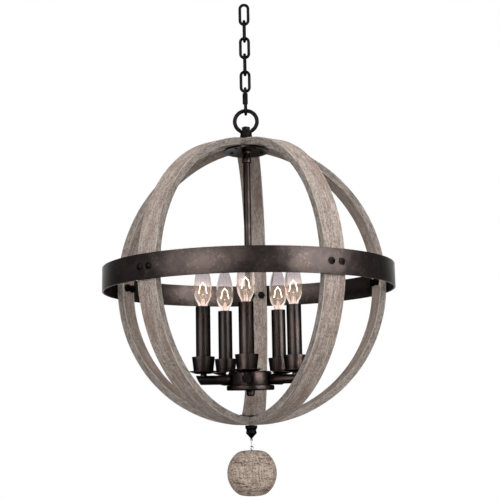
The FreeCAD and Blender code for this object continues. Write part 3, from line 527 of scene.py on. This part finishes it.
@once
def weathered_wood(name):
    """Greyed board: streaked faces, paler scratched sides, and worn corners partly painted as
    highlight and shade.
    """
    material, tree, shader = new_material(name)
    place = node(tree, "UVMap", uv_map="grain").outputs[0]
    lines = placed(tree, grain(), {"Vector": place, "Stretch": (40, 250, 250)})
    scratches = placed(tree, grain(), {"Vector": place, "Stretch": (110, 320, 320)})
    patch = noisy(tree, place, (13, 30, 30), 4, 0.6, 0.6)
    inset = node(tree, "Attribute", attribute_name="inset").outputs["Fac"]
    side = node(tree, "Attribute", attribute_name="side").outputs["Fac"]
    tone = colours()
    face = mixed(tree, faded(tree, lines["Streak"], 0.42, 0.58), tone.wood_brown,
                 tone.wood_pale)
    face = mixed(tree, faded(tree, patch, 0.50, 0.70, 0, 0.7), face, tone.wood_rosy)
    sawn = mixed(tree, faded(tree, scratches["Streak"], 0.40, 0.58), tone.side_dark,
                 tone.side_pale)
    base = mixed(tree, side, face, sawn)
    # Corners paled in patches: partly wear, partly a painted highlight along the rounded
    # corners
    rubbed = sums(tree, "MULTIPLY", faded(tree, inset, 0.0003, 0.0016, 1, 0),
                  faded(tree, patch, 0.40, 0.56))
    base = mixed(tree, rubbed, base, tone.worn_edge_and_highlight)
    # Corners darkened in patches with the dark wood: partly a dark finish in the arris,
    # partly painted shade on the rounded corners
    dark_finish_and_shade = sums(tree, "MULTIPLY", faded(tree, inset, 0.0003, 0.0014, 0.7, 0),
                 faded(tree, patch, 0.38, 0.48, 1, 0))
    base = mixed(tree, dark_finish_and_shade, base, tone.wood_dark)
    base = mixed(tree, sums(tree, "MULTIPLY", lines["Pore"], 0.6), base, tone.wood_dark)
    set_shader(tree, shader, Base_Color=base, Specular_IOR_Level=0.0,
               Roughness=faded(tree, lines["Streak"], 0.3, 0.7, 0.7, 0.86),
               Normal=bumped(tree, lines["Height"], 0.5, 0.0008))
    return material


@once
def washed_ball(name):
    """Turned ball under a brushed whitewash, brown wood scratched through both ways."""
    material, tree, shader = new_material(name)
    place = object_place(tree)
    around = placed(tree, grain(), {"Vector": place, "Stretch": (50, 50, 420)})
    upright = placed(tree, grain(), {"Vector": place, "Stretch": (400, 400, 45)})
    tone = colours()
    wash = sums(tree, "MINIMUM", faded(tree, around["Streak"], 0.41, 0.52),
                faded(tree, upright["Streak"], 0.41, 0.52))
    base = mixed(tree, wash, tone.ball_brown, tone.ball_pale)
    base = mixed(tree, sums(tree, "MULTIPLY", around["Pore"], 0.5), base, tone.wood_dark)
    height = sums(tree, "ADD", around["Height"], upright["Height"])
    set_shader(tree, shader, Base_Color=base, Specular_IOR_Level=0.0, Roughness=0.82,
               Normal=bumped(tree, height, 0.6, 0.0008))
    return material


@once
def painted(name):
    """Dark metal or plastic with warmer mottling, from its row of METALS."""
    dark, warm, scale, metallic, roughness, specular, bump, edge, rub = METALS[name]
    tone = colours()
    material, tree, shader = new_material(name)
    mottle = placed(tree, metal_mottle(), {"Vector": object_place(tree), "Scale": scale})
    base = mixed(tree, faded(tree, mottle["Patch"], 0.44, 0.66), getattr(tone, dark),
                 getattr(tone, warm))
    if rub:
        base = mixed(tree, sums(tree, "MULTIPLY", mottle["Speck"], rub), base,
                     tone.band_grey)
    set_shader(tree, shader, Base_Color=base, Metallic=metallic,
               Specular_IOR_Level=specular, Specular_Tint=(edge, edge, edge),
               Roughness=faded(tree, mottle["Patch"], 0.3, 0.7, roughness - 0.03,
                               roughness + 0.04),
               Normal=bumped(tree, mottle["Height"], bump, 0.0006))
    return material


@once
def pipe_thread(name):
    """Zinc plated pipe with its fine thread as ridges."""
    material, tree, shader = new_material(name)
    place = object_place(tree)
    ridges = node(tree, "TexWave", {"Vector": place, "Scale": 150.0, "Distortion": 0.0},
                  wave_type="BANDS", bands_direction="Z").outputs["Fac"]
    mottle = placed(tree, metal_mottle(), {"Vector": place, "Scale": 80})
    base = mixed(tree, mottle["Patch"], colours().pipe, colours().wire)
    set_shader(tree, shader, Base_Color=base, Metallic=1.0, Roughness=0.35,
               Normal=bumped(tree, ridges, 0.8, 0.0006))
    return material


@once
def clear_glass(name):
    """Clear bulb glass, greyer above, with a pale veil of light round the filament."""
    material, tree, shader = new_material(name)
    height = node(tree, "SeparateXYZ", {0: object_place(tree)}).outputs["Z"]
    low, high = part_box("bulb_glass_1")
    tall = high.z - low.z
    # The lower glass is warmer and paler: a painted glow of the filament's light, like the
    # faint veil below
    share = faded(tree, height, low.z + tall * 0.35, low.z + tall * 0.62)
    base = mixed(tree, share, colours().glass_glow_below, colours().glass_high)
    lit = faded(tree, height, low.z + tall * 0.45, low.z + tall * 0.75, 1, 0)
    veil = mixed(tree, lit, (0, 0, 0), colours().glow)
    set_shader(tree, shader, Base_Color=base, Transmission_Weight=1.0, Roughness=0.02,
               IOR=1.46, Emission_Color=veil, Emission_Strength=0.05)
    return material


@once
def filament_glow(name):
    """The lit filament."""
    material, tree, shader = new_material(name)
    set_shader(tree, shader, Base_Color=colours().glow, Emission_Color=colours().glow,
               Emission_Strength=4.0, Roughness=0.5)
    return material


# Studio

def softbox(name, power, glint):
    """A softbox that faces the cage's middle, brighter in gloss by its glint."""
    size, turn, lift, distance = SOFTBOXES[name]
    aim = middle("equator_band")
    way = Matrix.Rotation(math.radians(turn), 3, "Z") @ Vector((
        0, -math.cos(math.radians(lift)), math.sin(math.radians(lift))))
    for part, share in (("light", 1.0), ("glint", glint)):
        light = bpy.data.lights.new(f"{name}_softbox_{part}", "AREA")
        light.energy = power * share
        light.shape = "RECTANGLE"
        light.size, light.size_y = size
        thing = added(light.name, light)
        thing.location = aim + way * distance
        thing.rotation_euler = way.to_track_quat("Z", "Y").to_euler()
        thing.visible_camera = False
        thing.visible_transmission = False
        thing.visible_diffuse = part == "light"
        thing.visible_glossy = part == "glint"


def seen_share(tree):
    """One for rays that see the backdrop, straight, mirrored or through glass."""
    path = tree.nodes.new("ShaderNodeLightPath").outputs
    seen = sums(tree, "MAXIMUM", path["Is Camera Ray"], path["Is Glossy Ray"])
    return sums(tree, "MAXIMUM", seen, path["Is Transmission Ray"])


class PENDANT_OT_studio(bpy.types.Operator):
    """Add the camera, the softboxes, the white surround and the pale floor"""
    bl_idname = "pendant.studio"
    bl_label = "Studio"

    def execute(self, context):
        scene, studio = context.scene, context.scene.pendant_studio
        scene.view_settings.view_transform = "Standard"
        camera = bpy.data.cameras.new("camera")
        camera.lens = studio.lens
        camera.sensor_width = 36.0
        camera.clip_start, camera.clip_end = 0.05, 50
        scene.camera = added("camera", camera)
        scene.camera.location = studio.camera_place
        scene.camera.rotation_euler = studio.camera_turn

        world = scene.world or bpy.data.worlds.new("studio")
        scene.world = world
        world.use_nodes = True
        tree = world.node_tree
        tree.nodes.clear()
        # The light from all round is weaker from below
        up = node(tree, "SeparateXYZ", {0: object_place(tree)}).outputs["Z"]
        lit = node(tree, "Background", {"Color": (1, 1, 1, 1), "Strength": faded(
            tree, up, -0.7, 0.7, studio.fill * 0.4, studio.fill * 1.2)})
        seen = node(tree, "Background", {"Color": (1, 1, 1, 1), "Strength": 1.0})
        both = node(tree, "MixShader", {0: seen_share(tree), 1: lit.outputs[0],
                                        2: seen.outputs[0]})
        out = tree.nodes.new("ShaderNodeOutputWorld")
        tree.links.new(both.outputs[0], out.inputs["Surface"])

        for name in SOFTBOXES:
            softbox(name, getattr(studio, name), getattr(studio, f"{name}_glint", 1.0))
        self.lay_floor(studio)
        return {"FINISHED"}

    def lay_floor(self, studio):
        """A round pale floor that fades into the white surround."""
        form = bmesh.new()
        bmesh.ops.create_circle(form, cap_ends=True, segments=96,
                                radius=studio.floor_reach)
        mesh = mesh_of("floor", form)
        floor = added("floor", mesh)
        floor.location.z = CAD_BOX[0].z - studio.floor_drop
        material, tree, shader = new_material("pale_floor")
        set_shader(tree, shader, Base_Color=(0.5, 0.5, 0.5), Roughness=0.9,
                   Specular_IOR_Level=0.0)
        far = node(tree, "VectorMath", {0: object_place(tree)}, operation="LENGTH")
        rim = faded(tree, far.outputs["Value"], studio.floor_reach * 0.3,
                    studio.floor_reach * 0.95, 0.6, 1.0)
        share = sums(tree, "MULTIPLY", rim, seen_share(tree))
        white = node(tree, "Emission", {"Color": (1, 1, 1, 1), "Strength": 1.0})
        both = node(tree, "MixShader", {0: share, 1: shader.outputs[0],
                                        2: white.outputs[0]})
        out = [item for item in tree.nodes if item.type == "OUTPUT_MATERIAL"][0]
        tree.links.new(both.outputs[0], out.inputs["Surface"])
        mesh.materials.append(material)


# Chain, quick link and hanging ring

class PENDANT_OT_chain(bpy.types.Operator):
    """Add the five chain links and the quick link with its nut"""
    bl_idname = "pendant.chain"
    bl_label = "Chain"

    def execute(self, context):
        for number in CHAIN:
            name = f"chain_link_{number}"
            size = span(name)
            across = size.x < size.y
            wire = size.x if across else size.y
            form = oblong(size.z, max(size.x, size.y), wire)
            put(form, middle(name), QUARTER if across else 0)
            finished(f"link_{number}", form, f"link_{number}", painted("black_iron"),
                     "dark_iron", name)
        finished("quick_link_wire", self.quick_link(), "quick_link",
                 painted("black_iron"), "dark_iron", "quick_link")
        recast("quick_link_sleeve", "quick_link_nut", "black_iron", "dark_iron", "quick_nut")
        return {"FINISHED"}

    def quick_link(self):
        """An oblong wire ring with a gap in one side, closed by its sleeve nut."""
        size, centre = span("quick_link"), middle("quick_link")
        low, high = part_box("quick_link_nut")
        wire = size.x
        side, straight = (size.y - wire) / 2, (size.z - size.y) / 2
        # The gap starts a tenth of the nut's length below its top, inside the nut
        gap_top = high.z - centre.z - (high.z - low.z) * 0.1
        gap_bottom = gap_top - (high.z - low.z) * 0.31
        form = bmesh.new()
        made = bmesh.ops.create_circle(
            form, segments=18, radius=wire / 2, cap_ends=True,
            matrix=Matrix.Translation((-side, 0, gap_top)))
        ring = list({edge for corner in made["verts"] for edge in corner.link_edges})
        ring = run_on(form, ring, UP * (straight - gap_top))
        ring = bend_round(form, ring, UP * straight, ALONG_Y)
        ring = run_on(form, ring, -UP * straight * 2)
        ring = bend_round(form, ring, -UP * straight, ALONG_Y)
        ring = run_on(form, ring, UP * (straight + gap_bottom))
        bmesh.ops.holes_fill(form, edges=ring, sides=0)
        return put(form, centre, QUARTER)


class PENDANT_OT_hanging_ring(bpy.types.Operator):
    """Add the cast ring, its nut and the end of the threaded pipe"""
    bl_idname = "pendant.hanging_ring"
    bl_label = "Hanging ring"

    def execute(self, context):
        recast("hanging_ring", "hang_loop", "black_iron", "dark_iron")
        recast("ring_nut", "loop_nut", "black_iron", "dark_iron")
        dress("lamp_pipe", pipe_thread())
        return {"FINISHED"}


# Ribs

# Waves of wear in a board's face per metre
WEAR_WAVES = 22
# How far the wear and the grain's two directions are shifted from board to board
BOARD_SHIFTS = (7.3, 1.7, 0.37)
# How far the grain of a board's sides and outer face is shifted from its inner face
SIDE_SHIFT, OUTER_SHIFT = 0.2, 0.1


class PENDANT_OT_ribs(bpy.types.Operator):
    """Add the five wooden ribs, mitred at the poles"""
    bl_idname = "pendant.ribs"
    bl_label = "Ribs"

    def execute(self, context):
        low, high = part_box("rib_1")
        self.outer = high.y
        self.inner = self.outer - sizes().rib_thickness
        self.middle = (self.outer + self.inner) / 2
        self.half = (high.x - low.x) / 2
        self.centre = Vector((0, 0, (low.z + high.z) / 2))
        for number in RIBS:
            form = self.board(number)
            self.lay_grain(form, number)
            put(form, self.centre, rib_turn(number))
            finished(f"board_{number}", form, "fixture", weathered_wood(),
                     "weathered_wood", f"rib_{number}")
        return {"FINISHED"}

    def board(self, number):
        """Half a ring of board in the XZ plane, bulging to +X."""
        form = bmesh.new()
        corners = [form.verts.new((x, y, 0)) for x, y in (
            (self.inner, -self.half), (self.outer, -self.half),
            (self.outer, self.half), (self.inner, self.half))]
        form.faces.new(corners)
        bmesh.ops.bevel(form, geom=corners, offset=sizes().rib_corner, offset_type="OFFSET",
                        segments=3, profile=0.5, affect="VERTICES", material=-1)
        bmesh.ops.delete(form, geom=form.faces[:], context="FACES_ONLY")
        wide = [edge for edge in form.edges if edge.calc_length() > self.half]
        narrow = [edge for edge in form.edges
                  if sizes().rib_corner * 2 < edge.calc_length() < self.half]
        bmesh.ops.subdivide_edges(form, edges=wide, cuts=8)
        bmesh.ops.subdivide_edges(form, edges=narrow, cuts=2)
        bmesh.ops.rotate(form, verts=form.verts, cent=(0, 0, 0),
                         matrix=Matrix.Rotation(QUARTER, 3, "Y"))
        bmesh.ops.spin(form, geom=form.verts[:] + form.edges[:], cent=(0, 0, 0),
                       axis=-ALONG_Y, dvec=(0, 0, 0), angle=math.pi, steps=96,
                       use_merge=False, use_duplicate=False)
        self.wear_faces(form, number)
        bmesh.ops.holes_fill(form, edges=form.edges, sides=0)
        # Two cuts mitre the tip against the neighbours, and one clears the pipe
        slope = FIFTH / 2
        gap = Vector((sizes().mitre_gap, 0, 0))
        pipe = Vector((span("lamp_pipe").x / 2 + sizes().pipe_gap, 0, 0))
        for start, way in ((gap, Vector((-math.sin(slope), math.cos(slope), 0))),
                           (gap, Vector((-math.sin(slope), -math.cos(slope), 0))),
                           (pipe, Vector((-1, 0, 0)))):
            cut = bmesh.ops.bisect_plane(
                form, geom=form.verts[:] + form.edges[:] + form.faces[:], dist=WELD,
                plane_co=start, plane_no=way, clear_outer=True)["geom_cut"]
            rims = [item for item in cut if isinstance(item, bmesh.types.BMEdge)]
            bmesh.ops.holes_fill(form, edges=rims, sides=0)
        return form

    def wear_faces(self, form, number):
        """Sink the board's faces by a little, unevenly, as weathered wood is."""
        shift = Vector((number * BOARD_SHIFTS[0], 0, 0))
        for corner in form.verts:
            seed = corner.co * WEAR_WAVES + shift
            depth = sizes().rib_wear * (0.5 + 0.5 * noise.noise(seed))
            far = Vector((corner.co.x, 0, corner.co.z))
            inward = -1 if far.length > self.middle else 1
            corner.co += far.normalized() * depth * inward

    def lay_grain(self, form, number):
        """Lay the grain's own map along the board, and mark its sides and corners."""
        form.normal_update()
        laid = form.loops.layers.uv.new("grain")
        inset = form.verts.layers.float.new("inset")
        side = form.verts.layers.float.new("side")
        for corner in form.verts:
            far = math.hypot(corner.co.x, corner.co.z)
            from_face = min(self.outer - far, far - self.inner)
            from_side = self.half - abs(corner.co.y)
            corner[inset] = max(from_face, from_side)
            lean = (from_face - from_side) / sizes().rib_corner
            corner[side] = min(1.0, max(0.0, 0.5 + lean / 2))
        for face in form.faces:
            upright = abs(face.normal.y) > 0.7
            for loop in face.loops:
                spot = loop.vert.co
                far = math.hypot(spot.x, spot.z)
                along = math.atan2(spot.z, spot.x) * self.outer
                across = spot.y + (far > self.middle) * OUTER_SHIFT
                if upright:
                    across = far + SIDE_SHIFT
                loop[laid].uv = (along + number * BOARD_SHIFTS[1],
                                 across + number * BOARD_SHIFTS[2])


# Band

class PENDANT_OT_band(bpy.types.Operator):
    """Add the iron band, its bolts and their nuts"""
    bl_idname = "pendant.band"
    bl_label = "Band"

    def execute(self, context):
        low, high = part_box("equator_band")
        outer, size = high.x, sizes()
        inner = outer - size.band_wall
        form = round_edges(lathe([(inner, low.z), (outer, low.z), (outer, high.z),
                                  (inner, high.z)], steps=240), size.edge * 1.5)
        finished("band", form, "fixture", painted("aged_band"), "aged_band",
                 "equator_band")
        finished("bolts", self.bolts(outer), "fixture", painted("black_iron"),
                 "aged_band", "band_bolts")
        recast("nuts", "band_nuts", "black_iron", "bronze_paint")
        return {"FINISHED"}

    def bolts(self, outer):
        """The ten bolts: heads outside, and shanks that reach past their nuts."""
        size = sizes()
        head, shank = size.bolt_head / 2, size.bolt_shank / 2
        rim = size.bolt_rise / 4
        # The rib on +Y holds the bolts that reach furthest that way
        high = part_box("band_bolts")[1]
        tip = high.y - size.bolt_rise - self.tip_radius()
        # The head rises from its rim to a low point, with a little hollow in the slope
        slope = arc((head, rim), (0, size.bolt_rise), head * 0.12, 6)
        form = lathe([(0, -tip), (shank, -tip), (shank, 0), (head, 0)] + slope, steps=32,
                     closed=False)
        round_edges(form, size.edge)
        level = middle("equator_band").z
        places = []
        for number in RIBS:
            turn = Matrix.Rotation(rib_turn(number), 4, "Z")
            for step in (-0.5, 0.5):
                place = Matrix.Translation((outer, step * size.bolt_spacing, level))
                places.append(turn @ place @ Matrix.Rotation(QUARTER, 4, "Y"))
        return repeated(form, places)

    def tip_radius(self):
        """How far out the bolts' inner tips stand, read from the rib on +Y."""
        tips = [corner.co.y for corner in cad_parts["band_bolts"].data.vertices
                if abs(corner.co.x) < sizes().bolt_spacing]
        return min(tip for tip in tips if tip > 0)


# Discs and screws at the poles

class PENDANT_OT_discs(bpy.types.Operator):
    """Add the two domed discs and their screws"""
    bl_idname = "pendant.discs"
    bl_label = "Pole discs"

    def execute(self, context):
        # The discs' paint is lighter and warmer than the bronze paint, as a painted
        # reflection
        recast("upper_disc", "top_disc", "disc_paint_with_reflection", "bronze_paint")
        recast("lower_disc", "bottom_disc", "disc_paint_with_reflection", "bronze_paint")
        dress("disc_screws", painted("bronze_paint"))
        return {"FINISHED"}


# Stem

class PENDANT_OT_stem(bpy.types.Operator):
    """Add the stem with its coupling and nut"""
    bl_idname = "pendant.stem"
    bl_label = "Stem"

    def execute(self, context):
        low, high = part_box("stem_tube")
        inner = high.x - sizes().stem_wall
        form = lathe([(inner, low.z), (high.x, low.z), (high.x, high.z), (inner, high.z)])
        finished("stem", round_edges(form, sizes().edge), "fixture",
                 painted("bronze_paint"), "bronze_paint", "stem_tube")
        recast("stem_collar", "stem_coupling", "bronze_paint", "bronze_paint")
        recast("stem_nut", "disc_nut", "bronze_paint", "bronze_paint")
        return {"FINISHED"}


# Hub and arms

class PENDANT_OT_hub(bpy.types.Operator):
    """Add the turned hub: its lid, wall, foot and nut"""
    bl_idname = "pendant.hub"
    bl_label = "Hub"

    def execute(self, context):
        for name, part in (("hub_lid", "hub_cover"), ("hub_wall", "hub_body"),
                           ("hub_foot", "hub_base"), ("hub_knob", "hub_nut")):
            recast(name, part, "bronze_paint", "bronze_paint")
        return {"FINISHED"}


class PENDANT_OT_arms(bpy.types.Operator):
    """Add the five arms and their bright screws"""
    bl_idname = "pendant.arms"
    bl_label = "Arms"

    def execute(self, context):
        for number in CANDLES:
            recast(f"candle_arm_{number}", f"arm_{number}", "bronze_paint",
                   "bronze_paint")
        recast("collar_screws", "arm_screws", "bright_screw", "bright_screw")
        return {"FINISHED"}


# Candles

class PENDANT_OT_candles(bpy.types.Operator):
    """Add the drip pans, cups, sleeves and lamp holders"""
    bl_idname = "pendant.candles"
    bl_label = "Candles"

    def execute(self, context):
        recast("pans", "drip_pans", "bronze_paint", "bronze_paint")
        for number in CANDLES:
            recast(f"cup_{number}", f"candle_cup_{number}", "bronze_paint", "bronze_paint")
            recast(f"sleeve_{number}", f"candle_sleeve_{number}", "sleeve_paint",
                   "dark_sleeve")
        dress("sockets", painted("socket_plastic"))
        return {"FINISHED"}


# Bulbs

class PENDANT_OT_bulbs(bpy.types.Operator):
    """Add the bulbs: glass, cap, glass stem, wires and filament"""
    bl_idname = "pendant.bulbs"
    bl_label = "Bulbs"

    def execute(self, context):
        for number in CANDLES:
            body = f"bulb_{number}"
            low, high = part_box(f"bulb_glass_{number}")
            foot = Vector(((low.x + high.x) / 2, (low.y + high.y) / 2, low.z))
            size = high - low
            finished(f"glass_{number}", put(self.glass(size), foot), body, clear_glass(),
                     "bulb_glass", f"bulb_glass_{number}")
            finished(f"cap_{number}", put(self.cap(number), foot), body,
                     painted("cap_metal"), "bulb_cap", f"bulb_base_{number}")
            finished(f"glass_stem_{number}", put(self.glass_stem(size), foot), body,
                     clear_glass(), "bulb_glass")
            finished(f"leads_{number}", put(self.leads(size), foot), body,
                     painted("bare_wire"), "bright_screw")
            finished(f"filament_{number}", put(self.filament(size), foot), body,
                     filament_glow(), "bulb_cap")
        return {"FINISHED"}

    def glass(self, size):
        """The torpedo, outside and inside, joined round the neck."""
        wall, widest, top = sizes().glass_wall, size.x / 2, size.z
        flare, level, wide = sizes().flare_radius, sizes().flare_height, sizes().widest_height
        neck, tip, shoulder = widest * 0.424, widest * 0.395, size.z * 0.947

        def skin(inset):
            lower = [(neck - inset, 0), ((neck + flare) / 2 - inset * 0.98, level * 0.52)]
            lower += self.swell(flare - inset, widest - inset, level, wide)
            upper = self.swell(tip - inset, widest - inset, shoulder, wide)[::-1]
            rise = top - inset - shoulder
            cap = [((tip - inset) * math.cos(turn), shoulder + rise * math.sin(turn))
                   for turn in (math.radians(18 * step) for step in range(1, 6))]
            return lower + upper[1:] + cap

        return lathe(skin(0) + skin(wall)[::-1], steps=40)

    def swell(self, narrow, wide, start, end):
        """Points of an arc from a narrow level to the widest, upright at the widest."""
        height, depth = end - start, wide - narrow
        radius = (height ** 2 + depth ** 2) / (2 * depth)
        return sweep((wide - radius, end), radius, -math.asin(height / radius), 0, 12)

    def cap(self, number):
        """The rolled screw cap with its thread as rings, and the contact below."""
        size = span(f"bulb_base_{number}")
        outer, deep, pitch = size.x / 2, size.z, sizes().thread_pitch
        root = outer - pitch * 0.22
        outline = [(0, -deep), (outer * 0.45, -deep), (outer * 0.5, -deep + pitch * 0.3),
                   (root, -deep * 0.78)]
        rings = 5
        for ring in range(rings):
            level = -deep * 0.76 + ring * pitch
            outline += [(root, level), (outer, level + pitch * 0.5)]
        top = -deep * 0.76 + rings * pitch
        outline += [(root, top), (outer * 0.985, top + pitch * 0.3), (outer * 0.985, 0),
                    (0, 0)]
        return round_edges(lathe(outline, steps=40, closed=False), sizes().thread_edge)

    def glass_stem(self, size):
        """The pinched glass stem that carries the wires."""
        high, foot = size.z * 0.30, 0.0005
        # Radius in metres, and height as a share of the stem's own
        pinched = ((0.0038, 0.35), (0.0024, 0.75), (0.0026, 0.92), (0.0014, 1), (0, 1))
        upper = [(radius, high * share) for radius, share in pinched]
        return lathe([(0, foot), (0.0046, foot)] + upper, steps=24, closed=False)

    def wire_through(self, form, points, radius):
        """Round wire as short straight runs from point to point."""
        for start, end in zip(points, points[1:]):
            way = end - start
            turn = way.to_track_quat("Z", "Y").to_matrix().to_4x4()
            place = Matrix.Translation((start + end) / 2) @ turn
            bmesh.ops.create_cone(form, cap_ends=True, segments=8, radius1=radius,
                                  radius2=radius, depth=way.length, matrix=place)

    def hooks(self, size):
        """The five points that the filament is hung from, highest in the middle."""
        spread, back, front = sizes().filament_spread, 0.0022, -0.0020
        low, high, top = size.z * 0.30, size.z * 0.475, size.z * 0.535
        return [Vector((-spread, 0, low)), Vector((-spread * 0.62, back, high)),
                Vector((0, front, top)), Vector((spread * 0.62, back, high)),
                Vector((spread, 0, low))]

    def leads(self, size):
        """Two wires that fan out of the stem, and three thinner ones as hooks."""
        form, radius = bmesh.new(), sizes().lead_wire / 2
        root, apart = size.z * 0.29, 0.0009
        hooks = self.hooks(size)
        for hook in (hooks[0], hooks[-1]):
            foot = Vector((math.copysign(apart, hook.x), 0, root * 0.4))
            bend = Vector((foot.x * 1.6, 0, root * 0.8))
            self.wire_through(form, [foot, bend, hook], radius)
        for hook in hooks[1:-1]:
            self.wire_through(form, [Vector((0, 0, root)), hook], radius * 0.7)
        return form

    def filament(self, size):
        """The filament, slack from hook to hook."""
        form = bmesh.new()
        hooks = self.hooks(size)
        points = [hooks[0]]
        for start, end in zip(hooks, hooks[1:]):
            for step in range(1, 7):
                share = step / 6
                sag = 4 * share * (1 - share) * sizes().filament_sag
                points.append(start.lerp(end, share) - UP * sag)
        self.wire_through(form, points, sizes().filament_wire / 2)
        return form


# Ball

class PENDANT_OT_ball(bpy.types.Operator):
    """Add the finial, the small link, the screw eye and the wooden ball"""
    bl_idname = "pendant.ball"
    bl_label = "Ball"

    def execute(self, context):
        recast("finial", "bottom_finial", "black_iron", "dark_iron")
        size, wire = span("ball_link"), painted("bare_wire")
        form = put(oblong(size.z, size.y, size.x), middle("ball_link"), QUARTER)
        finished("small_link", form, "ball_hook", wire, "dark_iron", "ball_link")
        finished("screw_eye", softened("ball_eye", sizes().edge / 4), "ball", wire,
                 "dark_iron", "ball_eye")
        finished("ball", self.turned_ball(), "ball", washed_ball(), "washed_wood",
                 "wood_ball")
        return {"FINISHED"}

    def turned_ball(self):
        """A sphere whose ends are low crowns, with a shoulder rounded between them."""
        size = span("wood_ball")
        radius, pole, rise = size.x / 2, size.z / 2, sizes().ball_crown
        shoulder = sizes().ball_shoulder
        rim = math.sqrt(radius ** 2 - (pole - rise) ** 2)
        crown = (rim ** 2 + rise ** 2) / (2 * rise)
        drop = crown - pole
        # The shoulder's centre lies inside both arcs by its own radius
        level = ((crown - shoulder) ** 2 - (radius - shoulder) ** 2 - drop ** 2) / (2 * drop)
        out = math.sqrt((radius - shoulder) ** 2 - level ** 2)
        low, high = math.atan2(level, out), math.atan2(level + drop, out)
        upper = sweep((0, 0), radius, 0, low, 24)
        upper += sweep((out, level), shoulder, low, high, 6)[1:]
        upper += sweep((0, -drop), crown, high, QUARTER, 8)[1:-1] + [(0, pole)]
        lower = [(far, -height) for far, height in upper[:0:-1]]
        return put(lathe(lower + upper, steps=64, closed=False), middle("wood_ball"))


# Panel and registration

STEPS = (PENDANT_OT_studio, PENDANT_OT_chain, PENDANT_OT_hanging_ring, PENDANT_OT_ribs,
         PENDANT_OT_band, PENDANT_OT_discs, PENDANT_OT_stem, PENDANT_OT_hub,
         PENDANT_OT_arms, PENDANT_OT_candles, PENDANT_OT_bulbs, PENDANT_OT_ball)


class PENDANT_PT_panel(bpy.types.Panel):
    """The steps that dress the pendant light"""
    bl_label = "Orb Pendant Light"
    bl_idname = "PENDANT_PT_panel"
    bl_space_type = "VIEW_3D"
    bl_region_type = "UI"
    bl_category = "Pendant"

    def draw(self, context):
        for step in STEPS:
            self.layout.operator(step.bl_idname)


PROPERTIES = {"pendant_sizes": PENDANT_PG_sizes, "pendant_colours": PENDANT_PG_colours,
              "pendant_studio": PENDANT_PG_studio}
CLASSES = (*PROPERTIES.values(), *STEPS, PENDANT_PT_panel)


def register():
    for kind in CLASSES:
        bpy.utils.register_class(kind)
    for name, kind in PROPERTIES.items():
        setattr(bpy.types.Scene, name, PointerProperty(type=kind))


def unregister():
    for name in PROPERTIES:
        delattr(bpy.types.Scene, name)
    for kind in reversed(CLASSES):
        bpy.utils.unregister_class(kind)


def main():
    register()
    for step in STEPS:
        family, name = step.bl_idname.split(".")
        getattr(getattr(bpy.ops, family), name)()


if __name__ == "__main__":
    main()
